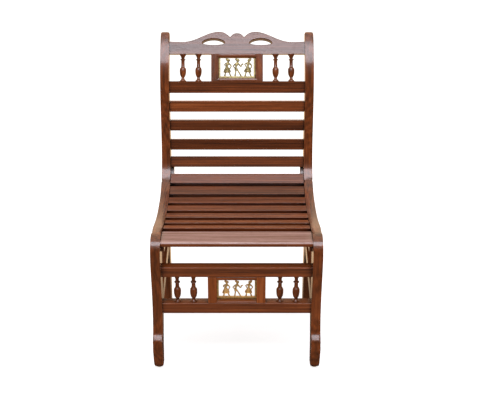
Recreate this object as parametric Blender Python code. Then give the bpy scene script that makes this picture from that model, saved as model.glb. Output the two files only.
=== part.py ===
"""Low armless easy chair in polished teak, with turned balusters and pierced brass panels.

Metres, +Y to the back, +Z up. The origin is on the floor, under the middle of the chair.
Left (-X) and right (+X) are as seen from the front. Side shapes are drawn in the side view,
as (distance back from the knee's front, height above the wooden feet), and moved into
place by world().
"""

import math

import bmesh
import bpy
from mathutils import Matrix, Vector
from mathutils.geometry import interpolate_bezier

# Whole chair
WIDTH = 0.560
KNEE_HEIGHT = 0.461
SEAT_RUN = 0.418
SEAT_DIP = 0.0225
BACK_RISE = 0.513
BACK_SETBACK = 0.169

# Fit of one piece in or on another
FIT = 0.0003
EASED_EDGE = 0.0015

# Side frames, sawn from plank
FRAME_THICKNESS = 0.032
FRAME_ROUND = 0.006
LEG_DEPTH = 0.069
LEG_BACK = 0.059
SEAT_RAIL_DEPTH = 0.058
FOOT_OF_BACK_DEPTH = 0.064
POST_DEPTH = 0.050
POST_TOP_DEPTH = 0.040
REAR_LEG_SETBACK = 0.303
REAR_LEG_DEPTH = 0.056
REAR_LEG_RAKE = 0.010
REAR_LEG_TAPER = 0.010
FRAME_TENON = 0.028
FRAME_TENON_THICKNESS = 0.010
FRAME_TENON_WIDTH = 0.030
TENON_ROOT = 0.006

# Shape of the line from knee to crest: shares of the seat's run and dip, and of the
# back's setback and rise
SEAT_SHAPE = (
    (0.0, 0.0), (0.098, 0.16), (0.227, 0.51), (0.373, 0.89), (0.517, 1.0),
    (0.660, 0.84), (0.792, 0.49), (0.900, -0.09), (1.0, -1.29),
)
BACK_SHAPE = (
    (0.178, 0.072), (0.284, 0.162), (0.343, 0.292), (0.367, 0.429), (0.396, 0.565),
    (0.462, 0.686), (0.580, 0.789), (0.746, 0.891), (1.034, 1.0146),
)

# Side stretchers
STRETCHER_DEPTH = 0.046
STRETCHER_THICKNESS = 0.028
STRETCHER_FRONT_HEIGHT = 0.207
STRETCHER_REAR_HEIGHT = 0.287
STRETCHER_TENON = 0.014
STRETCHER_TENON_WIDTH = 0.030

# Slats, and the cleats that carry those of the seat
SLAT_WIDTH = 0.040
SLAT_ROUND = 0.004
SEAT_SLAT_COUNT = 6
SEAT_SLAT_THICKNESS = 0.020
SEAT_SLAT_RECESS = 0.005
SEAT_SLAT_BOW = 0.005
FIRST_SLAT_SETBACK = 0.079
LAST_SLAT_SETBACK = 0.045
REAR_SLAT_RISE = 0.008
FRONT_SLAT_WIDTH = 0.090
FRONT_SLAT_THICKNESS = 0.017
FRONT_SLAT_SETBACK = 0.010
FRONT_SLAT_DROP = 0.011
FRONT_SLAT_NOSE = 0.014
BACK_SLAT_THICKNESS = 0.015
BACK_SLAT_RECESS = 0.008
BACK_SLAT_PITCH = 0.0715
LOW_BACK_SLAT_RISE = 0.071
CLEAT_THICKNESS = 0.012
CLEAT_DEPTH = 0.020
CLEAT_FRONT = 0.020
CLEAT_LAP = 0.012
SLAT_TENON = 0.012
SLAT_TENON_THICKNESS = 0.008
SLAT_TENON_WIDTH = 0.028

# Back panel and crest rail
CREST_FROM_TOP = 0.0905
CREST_END_HEIGHT = 0.047
CREST_HUMP_HEIGHT = 0.085
CREST_NOTCH_HEIGHT = 0.0645
CREST_BUTTON_HEIGHT = 0.0795
CREST_HUMP_OFFSET = 0.067
CREST_NOTCH_OFFSET = 0.0255
LEAF_OFFSET = 0.0865
LEAF_LENGTH = 0.082
LEAF_TIP_HEIGHT = 0.0415
LEAF_RISE = 0.0175
LEAF_FALL = 0.008
CREST_TENON_WIDTH = 0.0225
CREST_ROUND = 0.00225
PANEL_THICKNESS = 0.022
BACK_OPENING = 0.106
BACK_RAIL_WIDTH = 0.042

# Front rails
FRONT_RAIL_SETBACK = 0.015
FRONT_RAIL_THICKNESS = 0.038
UPPER_RAIL_DROP = 0.104
UPPER_RAIL_WIDTH = 0.035
FRONT_OPENING = 0.096
LOWER_RAIL_WIDTH = 0.038
RAIL_SHOULDER = 0.005

# What stands between the two rails of each panel; its balusters are measured from the legs
# or posts
PANELS = {
    "back": {
        "thickness": PANEL_THICKNESS, "stile": 0.028, "spacing": 0.161, "head": 0.013,
        "sill": 0.0125, "balusters": (0.050, 0.107), "ring": 0.79,
        "rails": ("back_panel_rail", "crest_rail"),
    },
    "front": {
        "thickness": FRONT_RAIL_THICKNESS, "stile": 0.030, "spacing": 0.161, "head": 0.0115,
        "sill": 0.0095, "balusters": (0.0505, 0.1045), "ring": 0.745,
        "rails": ("front_lower_rail", "front_upper_rail"),
    },
}
STILE_TENON = 0.009
STILE_TENON_THICKNESS = 0.008
STILE_SHOULDER = 0.006

# Rear rail, under the seat at the foot of the back
REAR_RAIL_SETBACK = 0.018
REAR_RAIL_CLEARANCE = 0.002
REAR_RAIL_WIDTH = 0.066
REAR_RAIL_THICKNESS = 0.013
REAR_RAIL_TENON_WIDTH = 0.024

# Turned balusters
BALUSTER_RADIUS = 0.0118
BALUSTER_TENON_RADIUS = 0.0045
BALUSTER_TENON = 0.008
BALUSTER_SIDES = 12

# Cast brass panels
BRASS_THICKNESS = 0.003
BRASS_BAR = 0.006
BRASS_GROUND = 0.0075
BRASS_LAP = 0.003
FIGURE_PLACES = (-0.0345, -0.001, 0.040)
FIGURE_HEADROOM = 0.001
FIGURE_FLATNESS = 0.75
LIMB_SIDES = 6
HEM_SIDES = 8

# Fasteners and glides
SCREW_RADIUS = 0.002
SCREW_HEAD_RADIUS = 0.004
SCREW_HEAD_DEPTH = 0.003
SCREW_BITE = 0.010
SCREW_SIDES = 6
SCREW_POINT = 0.3
GLIDE_RADIUS = 0.011
GLIDE_HEIGHT = 0.008
GLIDE_CHAMFER = 0.002
GLIDE_SIDES = 12

# Fineness of the curves
CURVE_STEPS = 16
CHORD_ERROR = 0.0003
ROUND_STEPS = 2
OVERCUT = 0.002

INNER = WIDTH / 2 - FRAME_THICKNESS
FRAME_X = WIDTH / 2 - FRAME_THICKNESS / 2
SIDES = (("left", -1), ("right", 1))

FINISHES = {
    "teak": ((0.115, 0.031, 0.013), 0.28, 0.0),
    "brass": ((0.45, 0.27, 0.08), 0.35, 1.0),
    "steel": ((0.45, 0.44, 0.42), 0.4, 1.0),
    "nylon": ((0.62, 0.45, 0.30), 0.6, 0.0),
}

cutters = {}


def smooth_line(points):
    """Close-set points of a smooth line through the given ones."""
    points = [Vector(point) for point in points]
    last = len(points) - 1
    tangents = []
    for i, point in enumerate(points):
        before = point - points[max(i - 1, 0)]
        after = points[min(i + 1, last)] - point
        if i == 0:
            before = after
        if i == last:
            after = before
        blend = before / before.length_squared + after / after.length_squared
        tangents.append(blend.normalized())
    line = []
    for i in range(last):
        start, end = points[i], points[i + 1]
        reach = (end - start).length / 3
        handle_a = start + tangents[i] * reach
        handle_b = end - tangents[i + 1] * reach
        line += interpolate_bezier(start, handle_a, handle_b, end, CURVE_STEPS)[:-1]
    return [Vector(point[:2]) for point in line] + [points[-1]]


def simplified(points):
    """The fewest of the points that stay within the chord error of all of them."""
    if len(points) < 3:
        return list(points)
    start, end = points[0], points[-1]
    along = (end - start).normalized()
    side = Vector((-along.y, along.x))
    errors = [abs((point - start).dot(side)) for point in points[1:-1]]
    worst = max(range(len(errors)), key=errors.__getitem__)
    if errors[worst] < CHORD_ERROR:
        return [start, end]
    return simplified(points[: worst + 2])[:-1] + simplified(points[worst + 1 :])


class Line:
    """A smooth line in the side view, read by the distance along it."""

    def __init__(self, points):
        self.points = smooth_line(points)
        self.marks = [0.0]
        for a, b in zip(self.points, self.points[1:]):
            self.marks.append(self.marks[-1] + (b - a).length)
        self.length = self.marks[-1]

    def segment(self, distance):
        last = len(self.points) - 2
        return next((i for i in range(last) if self.marks[i + 1] > distance), last)

    def at(self, distance, depth=0.0):
        """The point at a distance along the line, and at a depth in the wood below it."""
        i = self.segment(distance)
        share = (distance - self.marks[i]) / (self.marks[i + 1] - self.marks[i])
        return self.points[i].lerp(self.points[i + 1], share) + self.inward(distance) * depth

    def direction(self, distance):
        reach = 0.004
        ahead = self.segment(distance + reach)
        behind = self.segment(distance - reach)
        return (self.points[ahead + 1] - self.points[behind]).normalized()

    def inward(self, distance):
        along = self.direction(distance)
        return Vector((along.y, -along.x))


def seat_and_back_line():
    """The top of the seat rail and the front of the post, from the knee to the crest."""
    points = [(LEG_DEPTH + run * SEAT_RUN, KNEE_HEIGHT - dip * SEAT_DIP) for run, dip in SEAT_SHAPE]
    foot_back, foot_height = points[-1]
    points += [(foot_back + back * BACK_SETBACK, foot_height + rise * BACK_RISE)
               for back, rise in BACK_SHAPE]
    return Line(points)


LINE = seat_and_back_line()
FOOT_OF_BACK = LINE.marks[(len(SEAT_SHAPE) - 1) * (CURVE_STEPS - 1)]
CREST_FOOT = LINE.length - CREST_FROM_TOP
BACK_RAIL_TOP = CREST_FOOT - BACK_OPENING
PANEL_DEPTH = BACK_SLAT_RECESS + PANEL_THICKNESS / 2
PANEL_FOOT = LINE.at(BACK_RAIL_TOP, PANEL_DEPTH)
PANEL_HEAD = LINE.at(CREST_FOOT, PANEL_DEPTH)
PANEL_ALONG = (PANEL_HEAD - PANEL_FOOT).normalized()
PANEL_HEIGHT = (PANEL_HEAD - PANEL_FOOT).length
CREST_ALONG = LINE.direction(CREST_FOOT + CREST_END_HEIGHT / 2)


def frame_depth(distance):
    """Depth of the side frame below the line: deepest where the back meets the seat."""
    stations = (
        (0.0, SEAT_RAIL_DEPTH),
        (FOOT_OF_BACK * 0.6, SEAT_RAIL_DEPTH),
        (FOOT_OF_BACK, FOOT_OF_BACK_DEPTH),
        (FOOT_OF_BACK + BACK_RISE * 0.4, POST_DEPTH),
        (LINE.length, POST_TOP_DEPTH),
    )
    for (start, depth_a), (end, depth_b) in zip(stations, stations[1:]):
        if distance <= end:
            share = min(max((distance - start) / (end - start), 0.0), 1.0)
            ease = share * share * (3 - 2 * share)
            return depth_a + (depth_b - depth_a) * ease
    return POST_TOP_DEPTH


def line_points(start, end, deep):
    """Points along the line, or along the far side of the frame below it."""
    count = 90
    spots = [start + (end - start) * i / count for i in range(count + 1)]
    return simplified([LINE.at(s, frame_depth(s) if deep else 0.0) for s in spots])


def front_leg_outline():
    """Knee, hollow shin and a foot that swells forward, drawn a little past its joint."""
    past = LEG_DEPTH + OVERCUT
    knee_and_shin = smooth_line((
        (past, KNEE_HEIGHT), (0.040, KNEE_HEIGHT), (0.019, KNEE_HEIGHT * 0.982),
        (0.002, KNEE_HEIGHT * 0.943), (-0.008, KNEE_HEIGHT * 0.880), (-0.007, KNEE_HEIGHT * 0.780),
        (0.003, KNEE_HEIGHT * 0.620), (0.008, KNEE_HEIGHT * 0.480), (0.004, KNEE_HEIGHT * 0.365),
        (-0.004, KNEE_HEIGHT * 0.303), (-0.012, KNEE_HEIGHT * 0.267), (-0.026, KNEE_HEIGHT * 0.230),
        (-0.033, KNEE_HEIGHT * 0.190), (-0.031, KNEE_HEIGHT * 0.150), (-0.024, KNEE_HEIGHT * 0.095),
        (-0.016, KNEE_HEIGHT * 0.015),
    ))
    calf = smooth_line((
        (0.026, KNEE_HEIGHT * 0.012), (0.024, KNEE_HEIGHT * 0.100), (0.026, KNEE_HEIGHT * 0.165),
        (0.034, KNEE_HEIGHT * 0.215), (0.047, KNEE_HEIGHT * 0.275), (0.056, KNEE_HEIGHT * 0.345),
        (LEG_BACK, KNEE_HEIGHT * 0.420),
    ))
    hollow_of_knee = smooth_line((
        (LEG_BACK, KNEE_HEIGHT * 0.660), (0.0605, KNEE_HEIGHT * 0.730), (0.064, KNEE_HEIGHT * 0.800),
        (past, KNEE_HEIGHT - SEAT_RAIL_DEPTH),
    ))
    toe_and_heel = [Vector((-0.012, 0.0)), Vector((0.022, 0.0))]
    return simplified(knee_and_shin) + toe_and_heel + simplified(calf) + simplified(hollow_of_knee)


def seat_rail_outline():
    start, end = -OVERCUT, FOOT_OF_BACK + OVERCUT
    return line_points(start, end, False) + line_points(end, start, True)


def back_post_outline():
    """The post, drawn a little past its foot, with a half-round top."""
    start = FOOT_OF_BACK - OVERCUT
    radius = POST_TOP_DEPTH / 2
    end = LINE.length - radius
    along, inward = LINE.direction(end), LINE.inward(end)
    centre = LINE.at(end, radius)
    turns = 8
    top = [centre - inward * radius * math.cos(math.pi * i / turns)
           + along * radius * math.sin(math.pi * i / turns) for i in range(1, turns)]
    return line_points(start, end, False) + top + line_points(end, start, True)


def rear_leg_edge(height, rear):
    """Distance back of the rear leg's front or rear edge: upright above, raked below."""
    front = LEG_DEPTH + REAR_LEG_SETBACK
    rake = REAR_LEG_RAKE * (1 - height / KNEE_HEIGHT) ** 1.5
    taper = REAR_LEG_TAPER * max(0.0, 1 - height / (0.5 * KNEE_HEIGHT)) ** 1.5
    return front + rake + (REAR_LEG_DEPTH - taper if rear else 0.0)


def rear_leg_outline(top):
    heights = [top * i / 24 for i in range(25)]
    front = simplified([Vector((rear_leg_edge(h, False), h)) for h in heights])
    rear = simplified([Vector((rear_leg_edge(h, True), h)) for h in heights])
    return front[::-1] + rear


def across_depth(distance, back):
    """Distance along the line at which the underside of the seat rail is so far back."""
    low, high = 0.0, distance
    for _ in range(40):
        middle = (low + high) / 2
        if LINE.at(middle, frame_depth(middle)).x < back:
            low = middle
        else:
            high = middle
    return low


def rear_leg_seat():
    """Height of the flat housing that takes the top of the rear leg."""
    edges = [LEG_DEPTH + REAR_LEG_SETBACK, LEG_DEPTH + REAR_LEG_SETBACK + REAR_LEG_DEPTH]
    spots = [across_depth(FOOT_OF_BACK, edge) for edge in edges]
    return max(LINE.at(s, frame_depth(s)).y for s in spots) + FRAME_ROUND


def crest_back():
    """Distance back of the crest rail's rear edge, at the tops of its humps."""
    height, depth = CREST_HUMP_HEIGHT - CREST_ROUND, PANEL_THICKNESS / 2 - CREST_ROUND
    return PANEL_HEAD.x + CREST_ALONG.x * height + CREST_ALONG.y * depth + CREST_ROUND


TOE_FRONT = min(point.x for point in front_leg_outline())
MIDDLE = (TOE_FRONT + crest_back()) / 2
REAR_LEG_TOP = rear_leg_seat()


def world(x, point):
    """A point of the side view, at x across the chair."""
    return Vector((x, point[0] - MIDDLE, point[1] + GLIDE_HEIGHT))


def tilt(origin, along):
    """Axes of a cross member: X across, local Y into the wood, local Z up along the frame."""
    return Matrix.Translation(world(0.0, origin)) @ Matrix.Rotation(-math.atan2(along.x, along.y), 4, "X")


def on_line(distance, depth):
    return tilt(LINE.at(distance, depth), LINE.direction(distance))


def upright(back, height):
    return tilt(Vector((back, height)), Vector((0.0, 1.0)))


def chair_root():
    root = bpy.data.objects.new("chair", None)
    bpy.context.collection.objects.link(root)
    return root


def finish_material(name, finish):
    colour, roughness, metallic = FINISHES[finish]
    material = bpy.data.materials.new(name)
    material.use_nodes = True
    shader = material.node_tree.nodes["Principled BSDF"]
    shader.inputs["Base Color"].default_value = (*colour, 1.0)
    shader.inputs["Roughness"].default_value = roughness
    shader.inputs["Metallic"].default_value = metallic
    return material


def piece(name, bm, matrix, finish="teak"):
    """Turn a bmesh into a named, placed and coloured sub-part of the chair."""
    bmesh.ops.recalc_face_normals(bm, faces=bm.faces)
    mesh = bpy.data.meshes.new(name)
    bm.to_mesh(mesh)
    bm.free()
    mesh.materials.append(finish_material(name, finish))
    obj = bpy.data.objects.new(name, mesh)
    bpy.context.collection.objects.link(obj)
    obj.parent = ROOT
    obj.matrix_world = matrix
    return obj


def combine(target, bm, operation):
    """Join the closed shapes in bm to a piece, or cut them out of it."""
    bmesh.ops.recalc_face_normals(bm, faces=bm.faces)
    mesh = bpy.data.meshes.new("tool")
    bm.to_mesh(mesh)
    bm.free()
    tool = bpy.data.objects.new("tool", mesh)
    tool.hide_render = True
    tool.display_type = "WIRE"
    bpy.context.collection.objects.link(tool)
    modifier = target.modifiers.new("combine", "BOOLEAN")
    modifier.operation = operation
    modifier.solver = "EXACT"
    modifier.use_self = True
    modifier.object = tool
    bpy.context.view_layer.update()
    evaluated = target.evaluated_get(bpy.context.evaluated_depsgraph_get())
    result = bpy.data.meshes.new_from_object(evaluated)
    target.modifiers.clear()
    old = target.data
    target.data = result
    bpy.data.meshes.remove(old)
    result.name = target.name
    bpy.data.objects.remove(tool)
    bpy.data.meshes.remove(mesh)


def cutter(name):
    """The collected shapes that will be cut out of the named piece."""
    if name not in cutters:
        cutters[name] = bmesh.new()
    return cutters[name]


def add_box(bm, matrix, size):
    placed = matrix @ Matrix.Diagonal((*size, 1.0))
    bmesh.ops.create_cube(bm, size=1.0, matrix=placed)


def add_plate(bm, outline, thickness, round_over):
    """Extrude a side-view outline to a plank about x = 0 and round its long edges."""
    half = thickness / 2
    low = [bm.verts.new((-half, p.x, p.y)) for p in outline]
    high = [bm.verts.new((half, p.x, p.y)) for p in outline]
    bm.faces.new(low[::-1])
    bm.faces.new(high)
    rims = []
    for i in range(len(outline)):
        j = (i + 1) % len(outline)
        bm.faces.new((low[i], low[j], high[j], high[i]))
        rims += [bm.edges.get((low[i], low[j])), bm.edges.get((high[i], high[j]))]
    if round_over:
        bmesh.ops.bevel(bm, geom=rims, offset=round_over, segments=ROUND_STEPS,
                        profile=0.5, affect="EDGES", clamp_overlap=False)


def trim(bm, point, normal):
    """Cut off what lies beyond a plane and close the cut with a flat face."""
    everything = bm.verts[:] + bm.edges[:] + bm.faces[:]
    bmesh.ops.bisect_plane(bm, geom=everything, plane_co=point, plane_no=normal,
                           clear_outer=True, dist=1e-7)
    open_edges = [edge for edge in bm.edges if edge.is_boundary]
    bmesh.ops.holes_fill(bm, edges=open_edges, sides=0)


def add_bar(bm, size, round_over, tall=0.0):
    """A bar along X with its four long edges rounded; tall adds height at the top only."""
    length, depth, height = size
    placed = Matrix.Translation((0, 0, tall / 2)) @ Matrix.Diagonal((length, depth, height + tall, 1))
    bmesh.ops.create_cube(bm, size=1.0, matrix=placed)
    long_edges = [e for e in bm.edges if abs((e.verts[0].co - e.verts[1].co).x) > length / 2]
    bmesh.ops.bevel(bm, geom=long_edges, offset=round_over, segments=ROUND_STEPS,
                    profile=0.5, affect="EDGES", clamp_overlap=False)


def add_turned(bm, profile, sides, matrix):
    """Turn a profile of (height, radius) pairs about local Z and close its ends."""
    turned = bmesh.new()
    verts = [turned.verts.new((radius, 0, height)) for height, radius in profile]
    edges = [turned.edges.new(pair) for pair in zip(verts, verts[1:])]
    bmesh.ops.spin(turned, geom=verts + edges, axis=(0, 0, 1), cent=(0, 0, 0), steps=sides,
                   angle=math.tau, use_merge=True)
    bmesh.ops.remove_doubles(turned, verts=turned.verts, dist=1e-6)
    bmesh.ops.holes_fill(turned, edges=[e for e in turned.edges if e.is_boundary], sides=0)
    bmesh.ops.recalc_face_normals(turned, faces=turned.faces)
    turned.transform(matrix)
    mesh = bpy.data.meshes.new("turned")
    turned.to_mesh(mesh)
    turned.free()
    bm.from_mesh(mesh)
    bpy.data.meshes.remove(mesh)


def side_matrix(side):
    """Place of a side-frame piece whose mesh is drawn in the side view about x = 0."""
    return Matrix.Translation(world(side * FRAME_X, (0.0, 0.0)))


def frame_tenon(side, origin, along, into, owner, reach=FRAME_TENON, width=FRAME_TENON_WIDTH):
    """A tenon on one side-frame piece and the blind mortise for it in the next."""
    base = tilt(origin, along)
    base.translation.x = side * FRAME_X
    size = (FRAME_TENON_THICKNESS, width, reach + TENON_ROOT)
    tenon = bmesh.new()
    add_box(tenon, base @ Matrix.Translation((0, 0, (reach - TENON_ROOT) / 2)), size)
    combine(owner, tenon, "UNION")
    room = (size[0] + 2 * FIT, size[1] + 2 * FIT, reach + FIT + OVERCUT)
    add_box(cutter(into), base @ Matrix.Translation((0, 0, (reach + FIT - OVERCUT) / 2)), room)


def seat_rails():
    for word, side in SIDES:
        bm = bmesh.new()
        add_plate(bm, seat_rail_outline(), FRAME_THICKNESS, FRAME_ROUND)
        end, along = LINE.at(FOOT_OF_BACK), LINE.direction(FOOT_OF_BACK)
        trim(bm, (0, LEG_DEPTH, 0), (0, -1, 0))
        trim(bm, (0, end.x, end.y), (0, along.x, along.y))
        rail = piece(f"seat_rail_{word}", bm, side_matrix(side))
        knee_tenon = Vector((LEG_DEPTH, KNEE_HEIGHT - SEAT_RAIL_DEPTH / 2))
        frame_tenon(side, knee_tenon, Vector((-1, 0)), f"front_leg_{word}", rail)
        post_tenon = LINE.at(FOOT_OF_BACK, FOOT_OF_BACK_DEPTH / 2)
        frame_tenon(side, post_tenon, along, f"back_post_{word}", rail)
        front = rear_leg_edge(REAR_LEG_TOP, False)
        housing = (FRAME_THICKNESS + 2 * OVERCUT, REAR_LEG_DEPTH + 2 * FIT, SEAT_RAIL_DEPTH)
        middle = (front + REAR_LEG_DEPTH / 2, REAR_LEG_TOP + FIT - SEAT_RAIL_DEPTH / 2)
        add_box(cutter(rail.name), Matrix.Translation(world(side * FRAME_X, middle)), housing)


def front_legs():
    for word, side in SIDES:
        bm = bmesh.new()
        add_plate(bm, front_leg_outline(), FRAME_THICKNESS, FRAME_ROUND)
        trim(bm, (0, LEG_DEPTH - FIT, 0), (0, 1, 0))
        piece(f"front_leg_{word}", bm, side_matrix(side))


def back_posts():
    for word, side in SIDES:
        bm = bmesh.new()
        add_plate(bm, back_post_outline(), FRAME_THICKNESS, FRAME_ROUND)
        along = LINE.direction(FOOT_OF_BACK)
        foot = LINE.at(FOOT_OF_BACK) + along * FIT
        trim(bm, (0, foot.x, foot.y), (0, -along.x, -along.y))
        piece(f"back_post_{word}", bm, side_matrix(side))


def rear_legs():
    for word, side in SIDES:
        bm = bmesh.new()
        add_plate(bm, rear_leg_outline(REAR_LEG_TOP + OVERCUT), FRAME_THICKNESS, FRAME_ROUND)
        trim(bm, (0, 0, REAR_LEG_TOP), (0, 0, 1))
        leg = piece(f"rear_leg_{word}", bm, side_matrix(side))
        middle = Vector((rear_leg_edge(REAR_LEG_TOP, False) + REAR_LEG_DEPTH / 2, REAR_LEG_TOP))
        frame_tenon(side, middle, Vector((0, 1)), f"seat_rail_{word}", leg)


def side_stretchers():
    """Bars between front and rear legs, rising a little to the rear."""
    start = LEG_BACK + FIT
    half = STRETCHER_DEPTH / 2
    rear_ends = [STRETCHER_REAR_HEIGHT + half, STRETCHER_REAR_HEIGHT - half]
    outline = [Vector((start, STRETCHER_FRONT_HEIGHT + half))]
    outline += [Vector((rear_leg_edge(h, False) - FIT, h)) for h in rear_ends]
    outline += [Vector((start, STRETCHER_FRONT_HEIGHT - half))]
    end = rear_leg_edge(STRETCHER_REAR_HEIGHT, False) - FIT
    joints = (
        (Vector((start, STRETCHER_FRONT_HEIGHT)), Vector((-1, 0)), "front_leg"),
        (Vector((end, STRETCHER_REAR_HEIGHT)), Vector((1, 0)), "rear_leg"),
    )
    for word, side in SIDES:
        bm = bmesh.new()
        add_plate(bm, outline, STRETCHER_THICKNESS, EASED_EDGE)
        bar = piece(f"side_stretcher_{word}", bm, side_matrix(side))
        for origin, along, leg in joints:
            frame_tenon(side, origin, along, f"{leg}_{word}", bar,
                        reach=STRETCHER_TENON, width=STRETCHER_TENON_WIDTH)


def tenoned_bar(name, matrix, size, round_over, hosts, top_cut=None, tall=0.0,
                tenon=(SLAT_TENON, SLAT_TENON_THICKNESS, SLAT_TENON_WIDTH)):
    """A cross member between the side frames, with a tenon at each end in blind mortises."""
    bm = bmesh.new()
    add_bar(bm, size, round_over, tall)
    if top_cut:
        inverse = matrix.inverted()
        trim(bm, inverse @ top_cut[0], inverse.to_3x3() @ top_cut[1])
    bar = piece(name, bm, matrix)
    reach, thickness, width = tenon
    tongue = bmesh.new()
    full = (size[0] + 2 * reach, thickness, width)
    add_box(tongue, matrix, full)
    combine(bar, tongue, "UNION")
    for host, side in hosts:
        depth = reach + 2 * FIT + OVERCUT
        middle = side * (INNER + reach + FIT - depth / 2)
        add_box(cutter(host), matrix @ Matrix.Translation((middle, 0, 0)),
                (depth, thickness + 2 * FIT, width + 2 * FIT))
    return bar


BETWEEN = 2 * (INNER - FIT)
POSTS = [(f"back_post_{word}", side) for word, side in SIDES]
FRONT_LEGS = [(f"front_leg_{word}", side) for word, side in SIDES]
SEAT_RAILS = [(f"seat_rail_{word}", side) for word, side in SIDES]


def back_slat_places():
    """Centres of the back slats along the line, from the top down."""
    rail = BACK_RAIL_TOP - BACK_RAIL_WIDTH / 2
    return [rail - (i + 1) * BACK_SLAT_PITCH for i in range(3)] + [FOOT_OF_BACK + LOW_BACK_SLAT_RISE]


def back_slats():
    for number, place in enumerate(back_slat_places(), 1):
        matrix = on_line(place, BACK_SLAT_RECESS + BACK_SLAT_THICKNESS / 2)
        tenoned_bar(f"back_slat_{number}", matrix, (BETWEEN, BACK_SLAT_THICKNESS, SLAT_WIDTH),
                    SLAT_ROUND, POSTS)


def seat_slat_places():
    """Centres of the six equal seat slats along the line, from the front back."""
    first, last = FIRST_SLAT_SETBACK, FOOT_OF_BACK - LAST_SLAT_SETBACK
    step = (last - first) / (SEAT_SLAT_COUNT - 1)
    return [first + i * step for i in range(SEAT_SLAT_COUNT)]


def slat_recess(place):
    """How far a seat slat lies below the rails: least where they dip the most."""
    run = FOOT_OF_BACK + REAR_SLAT_RISE - FIRST_SLAT_SETBACK
    share = (place - FIRST_SLAT_SETBACK) / run
    return SEAT_SLAT_RECESS - SEAT_SLAT_BOW * math.sin(math.pi * share)


def cleated_slats():
    """Name and place along the line of each slat that lies on the cleats, front one apart."""
    named = [(f"seat_slat_{i}", place) for i, place in enumerate(seat_slat_places(), 1)]
    return named + [("seat_rear_slat", FOOT_OF_BACK + REAR_SLAT_RISE)]


def seat_slats():
    for name, place in cleated_slats():
        bm = bmesh.new()
        add_bar(bm, (BETWEEN, SEAT_SLAT_THICKNESS, SLAT_WIDTH), SLAT_ROUND)
        piece(name, bm, on_line(place, slat_recess(place) + SEAT_SLAT_THICKNESS / 2))


def front_slat_section():
    """Side-view section of the wide front slat, with its big rounded nose."""
    top = KNEE_HEIGHT - FRONT_SLAT_DROP
    bottom = top - FRONT_SLAT_THICKNESS
    front, back = FRONT_SLAT_SETBACK, FRONT_SLAT_SETBACK + FRONT_SLAT_WIDTH
    nose = [Vector((front + FRONT_SLAT_NOSE * (1 - math.sin(a)), top - FRONT_SLAT_NOSE * (1 - math.cos(a))))
            for a in [math.radians(90 - 15 * i) for i in range(7)]]
    ease = SLAT_ROUND / 2
    return [Vector((front + ease, bottom)), Vector((front, bottom + ease))] + nose + [
        Vector((back - ease, top)), Vector((back, top - ease)),
        Vector((back, bottom + ease)), Vector((back - ease, bottom))]


def front_slat():
    bm = bmesh.new()
    add_plate(bm, front_slat_section(), BETWEEN, 0.0)
    piece("seat_front_slat", bm, side_matrix(0))


def cleat_stations():
    """Pairs of side-view points on the cleat's top and underside, from front to back."""
    height = KNEE_HEIGHT - FRONT_SLAT_DROP - FRONT_SLAT_THICKNESS - FIT
    ends = (CLEAT_FRONT, FRONT_SLAT_SETBACK + FRONT_SLAT_WIDTH)
    pairs = [(Vector((back, height)), Vector((back, height - CLEAT_DEPTH))) for back in ends]
    under = SEAT_SLAT_THICKNESS + FIT
    for _, place in cleated_slats():
        along, inward = LINE.direction(place), LINE.inward(place)
        middle = LINE.at(place, slat_recess(place) + under)
        for shift in (-SLAT_WIDTH / 2, SLAT_WIDTH / 2):
            point = middle + along * shift
            pairs.append((point, point + inward * CLEAT_DEPTH))
    top = back_slat_places()[-1] - SLAT_WIDTH / 2 + CLEAT_LAP
    start = FOOT_OF_BACK + REAR_SLAT_RISE + SLAT_WIDTH / 2
    under += SEAT_SLAT_RECESS
    for place in ((start + top) / 2, top):
        pairs.append((LINE.at(place, under), LINE.at(place, under + CLEAT_DEPTH)))
    return pairs


def cleats():
    pairs = cleat_stations()
    outline = [pair[0] for pair in pairs] + [pair[1] for pair in reversed(pairs)]
    for word, side in SIDES:
        bm = bmesh.new()
        add_plate(bm, outline, CLEAT_THICKNESS, 0.0)
        x = side * (INNER - FIT - CLEAT_THICKNESS / 2)
        piece(f"seat_cleat_{word}", bm, Matrix.Translation(world(x, (0.0, 0.0))))


def screw_profile(grip, clearance=0.0, overshoot=0.0):
    """Countersunk screw: its head's top is at height 0 and its point at minus its length."""
    length = grip + SCREW_BITE
    head, shank = SCREW_HEAD_RADIUS + clearance, SCREW_RADIUS + clearance
    return [(overshoot, head), (-clearance, head), (-SCREW_HEAD_DEPTH - clearance, shank),
            (-length + SCREW_RADIUS, shank), (-length - clearance, shank * SCREW_POINT)]


def cleat_screws():
    """Screws through the cleats into the side frames, between the slats."""
    places = seat_slat_places()
    under = SEAT_SLAT_THICKNESS + FIT + CLEAT_DEPTH / 2
    front, middle = (places[0] + places[1]) / 2, (places[3] + places[4]) / 2
    rear = FOOT_OF_BACK + REAR_SLAT_RISE + SLAT_WIDTH * 0.9
    stations = [(front, slat_recess(front), "seat_rail"), (middle, slat_recess(middle), "seat_rail"),
                (rear, SEAT_SLAT_RECESS, "back_post")]
    for word, side in SIDES:
        for number, (place, recess, host) in enumerate(stations, 1):
            origin = world(side * (INNER - FIT - CLEAT_THICKNESS), LINE.at(place, recess + under))
            matrix = Matrix.Translation(origin) @ Matrix.Rotation(math.radians(-90 * side), 4, "Y")
            bm = bmesh.new()
            add_turned(bm, screw_profile(CLEAT_THICKNESS)[1:], SCREW_SIDES, Matrix.Identity(4))
            piece(f"cleat_screw_{word}_{number}", bm, matrix, "steel")
            hole = screw_profile(CLEAT_THICKNESS, FIT, OVERCUT)
            for owner in (f"seat_cleat_{word}", f"{host}_{word}"):
                add_turned(cutter(owner), hole, SCREW_SIDES, matrix)


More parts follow.
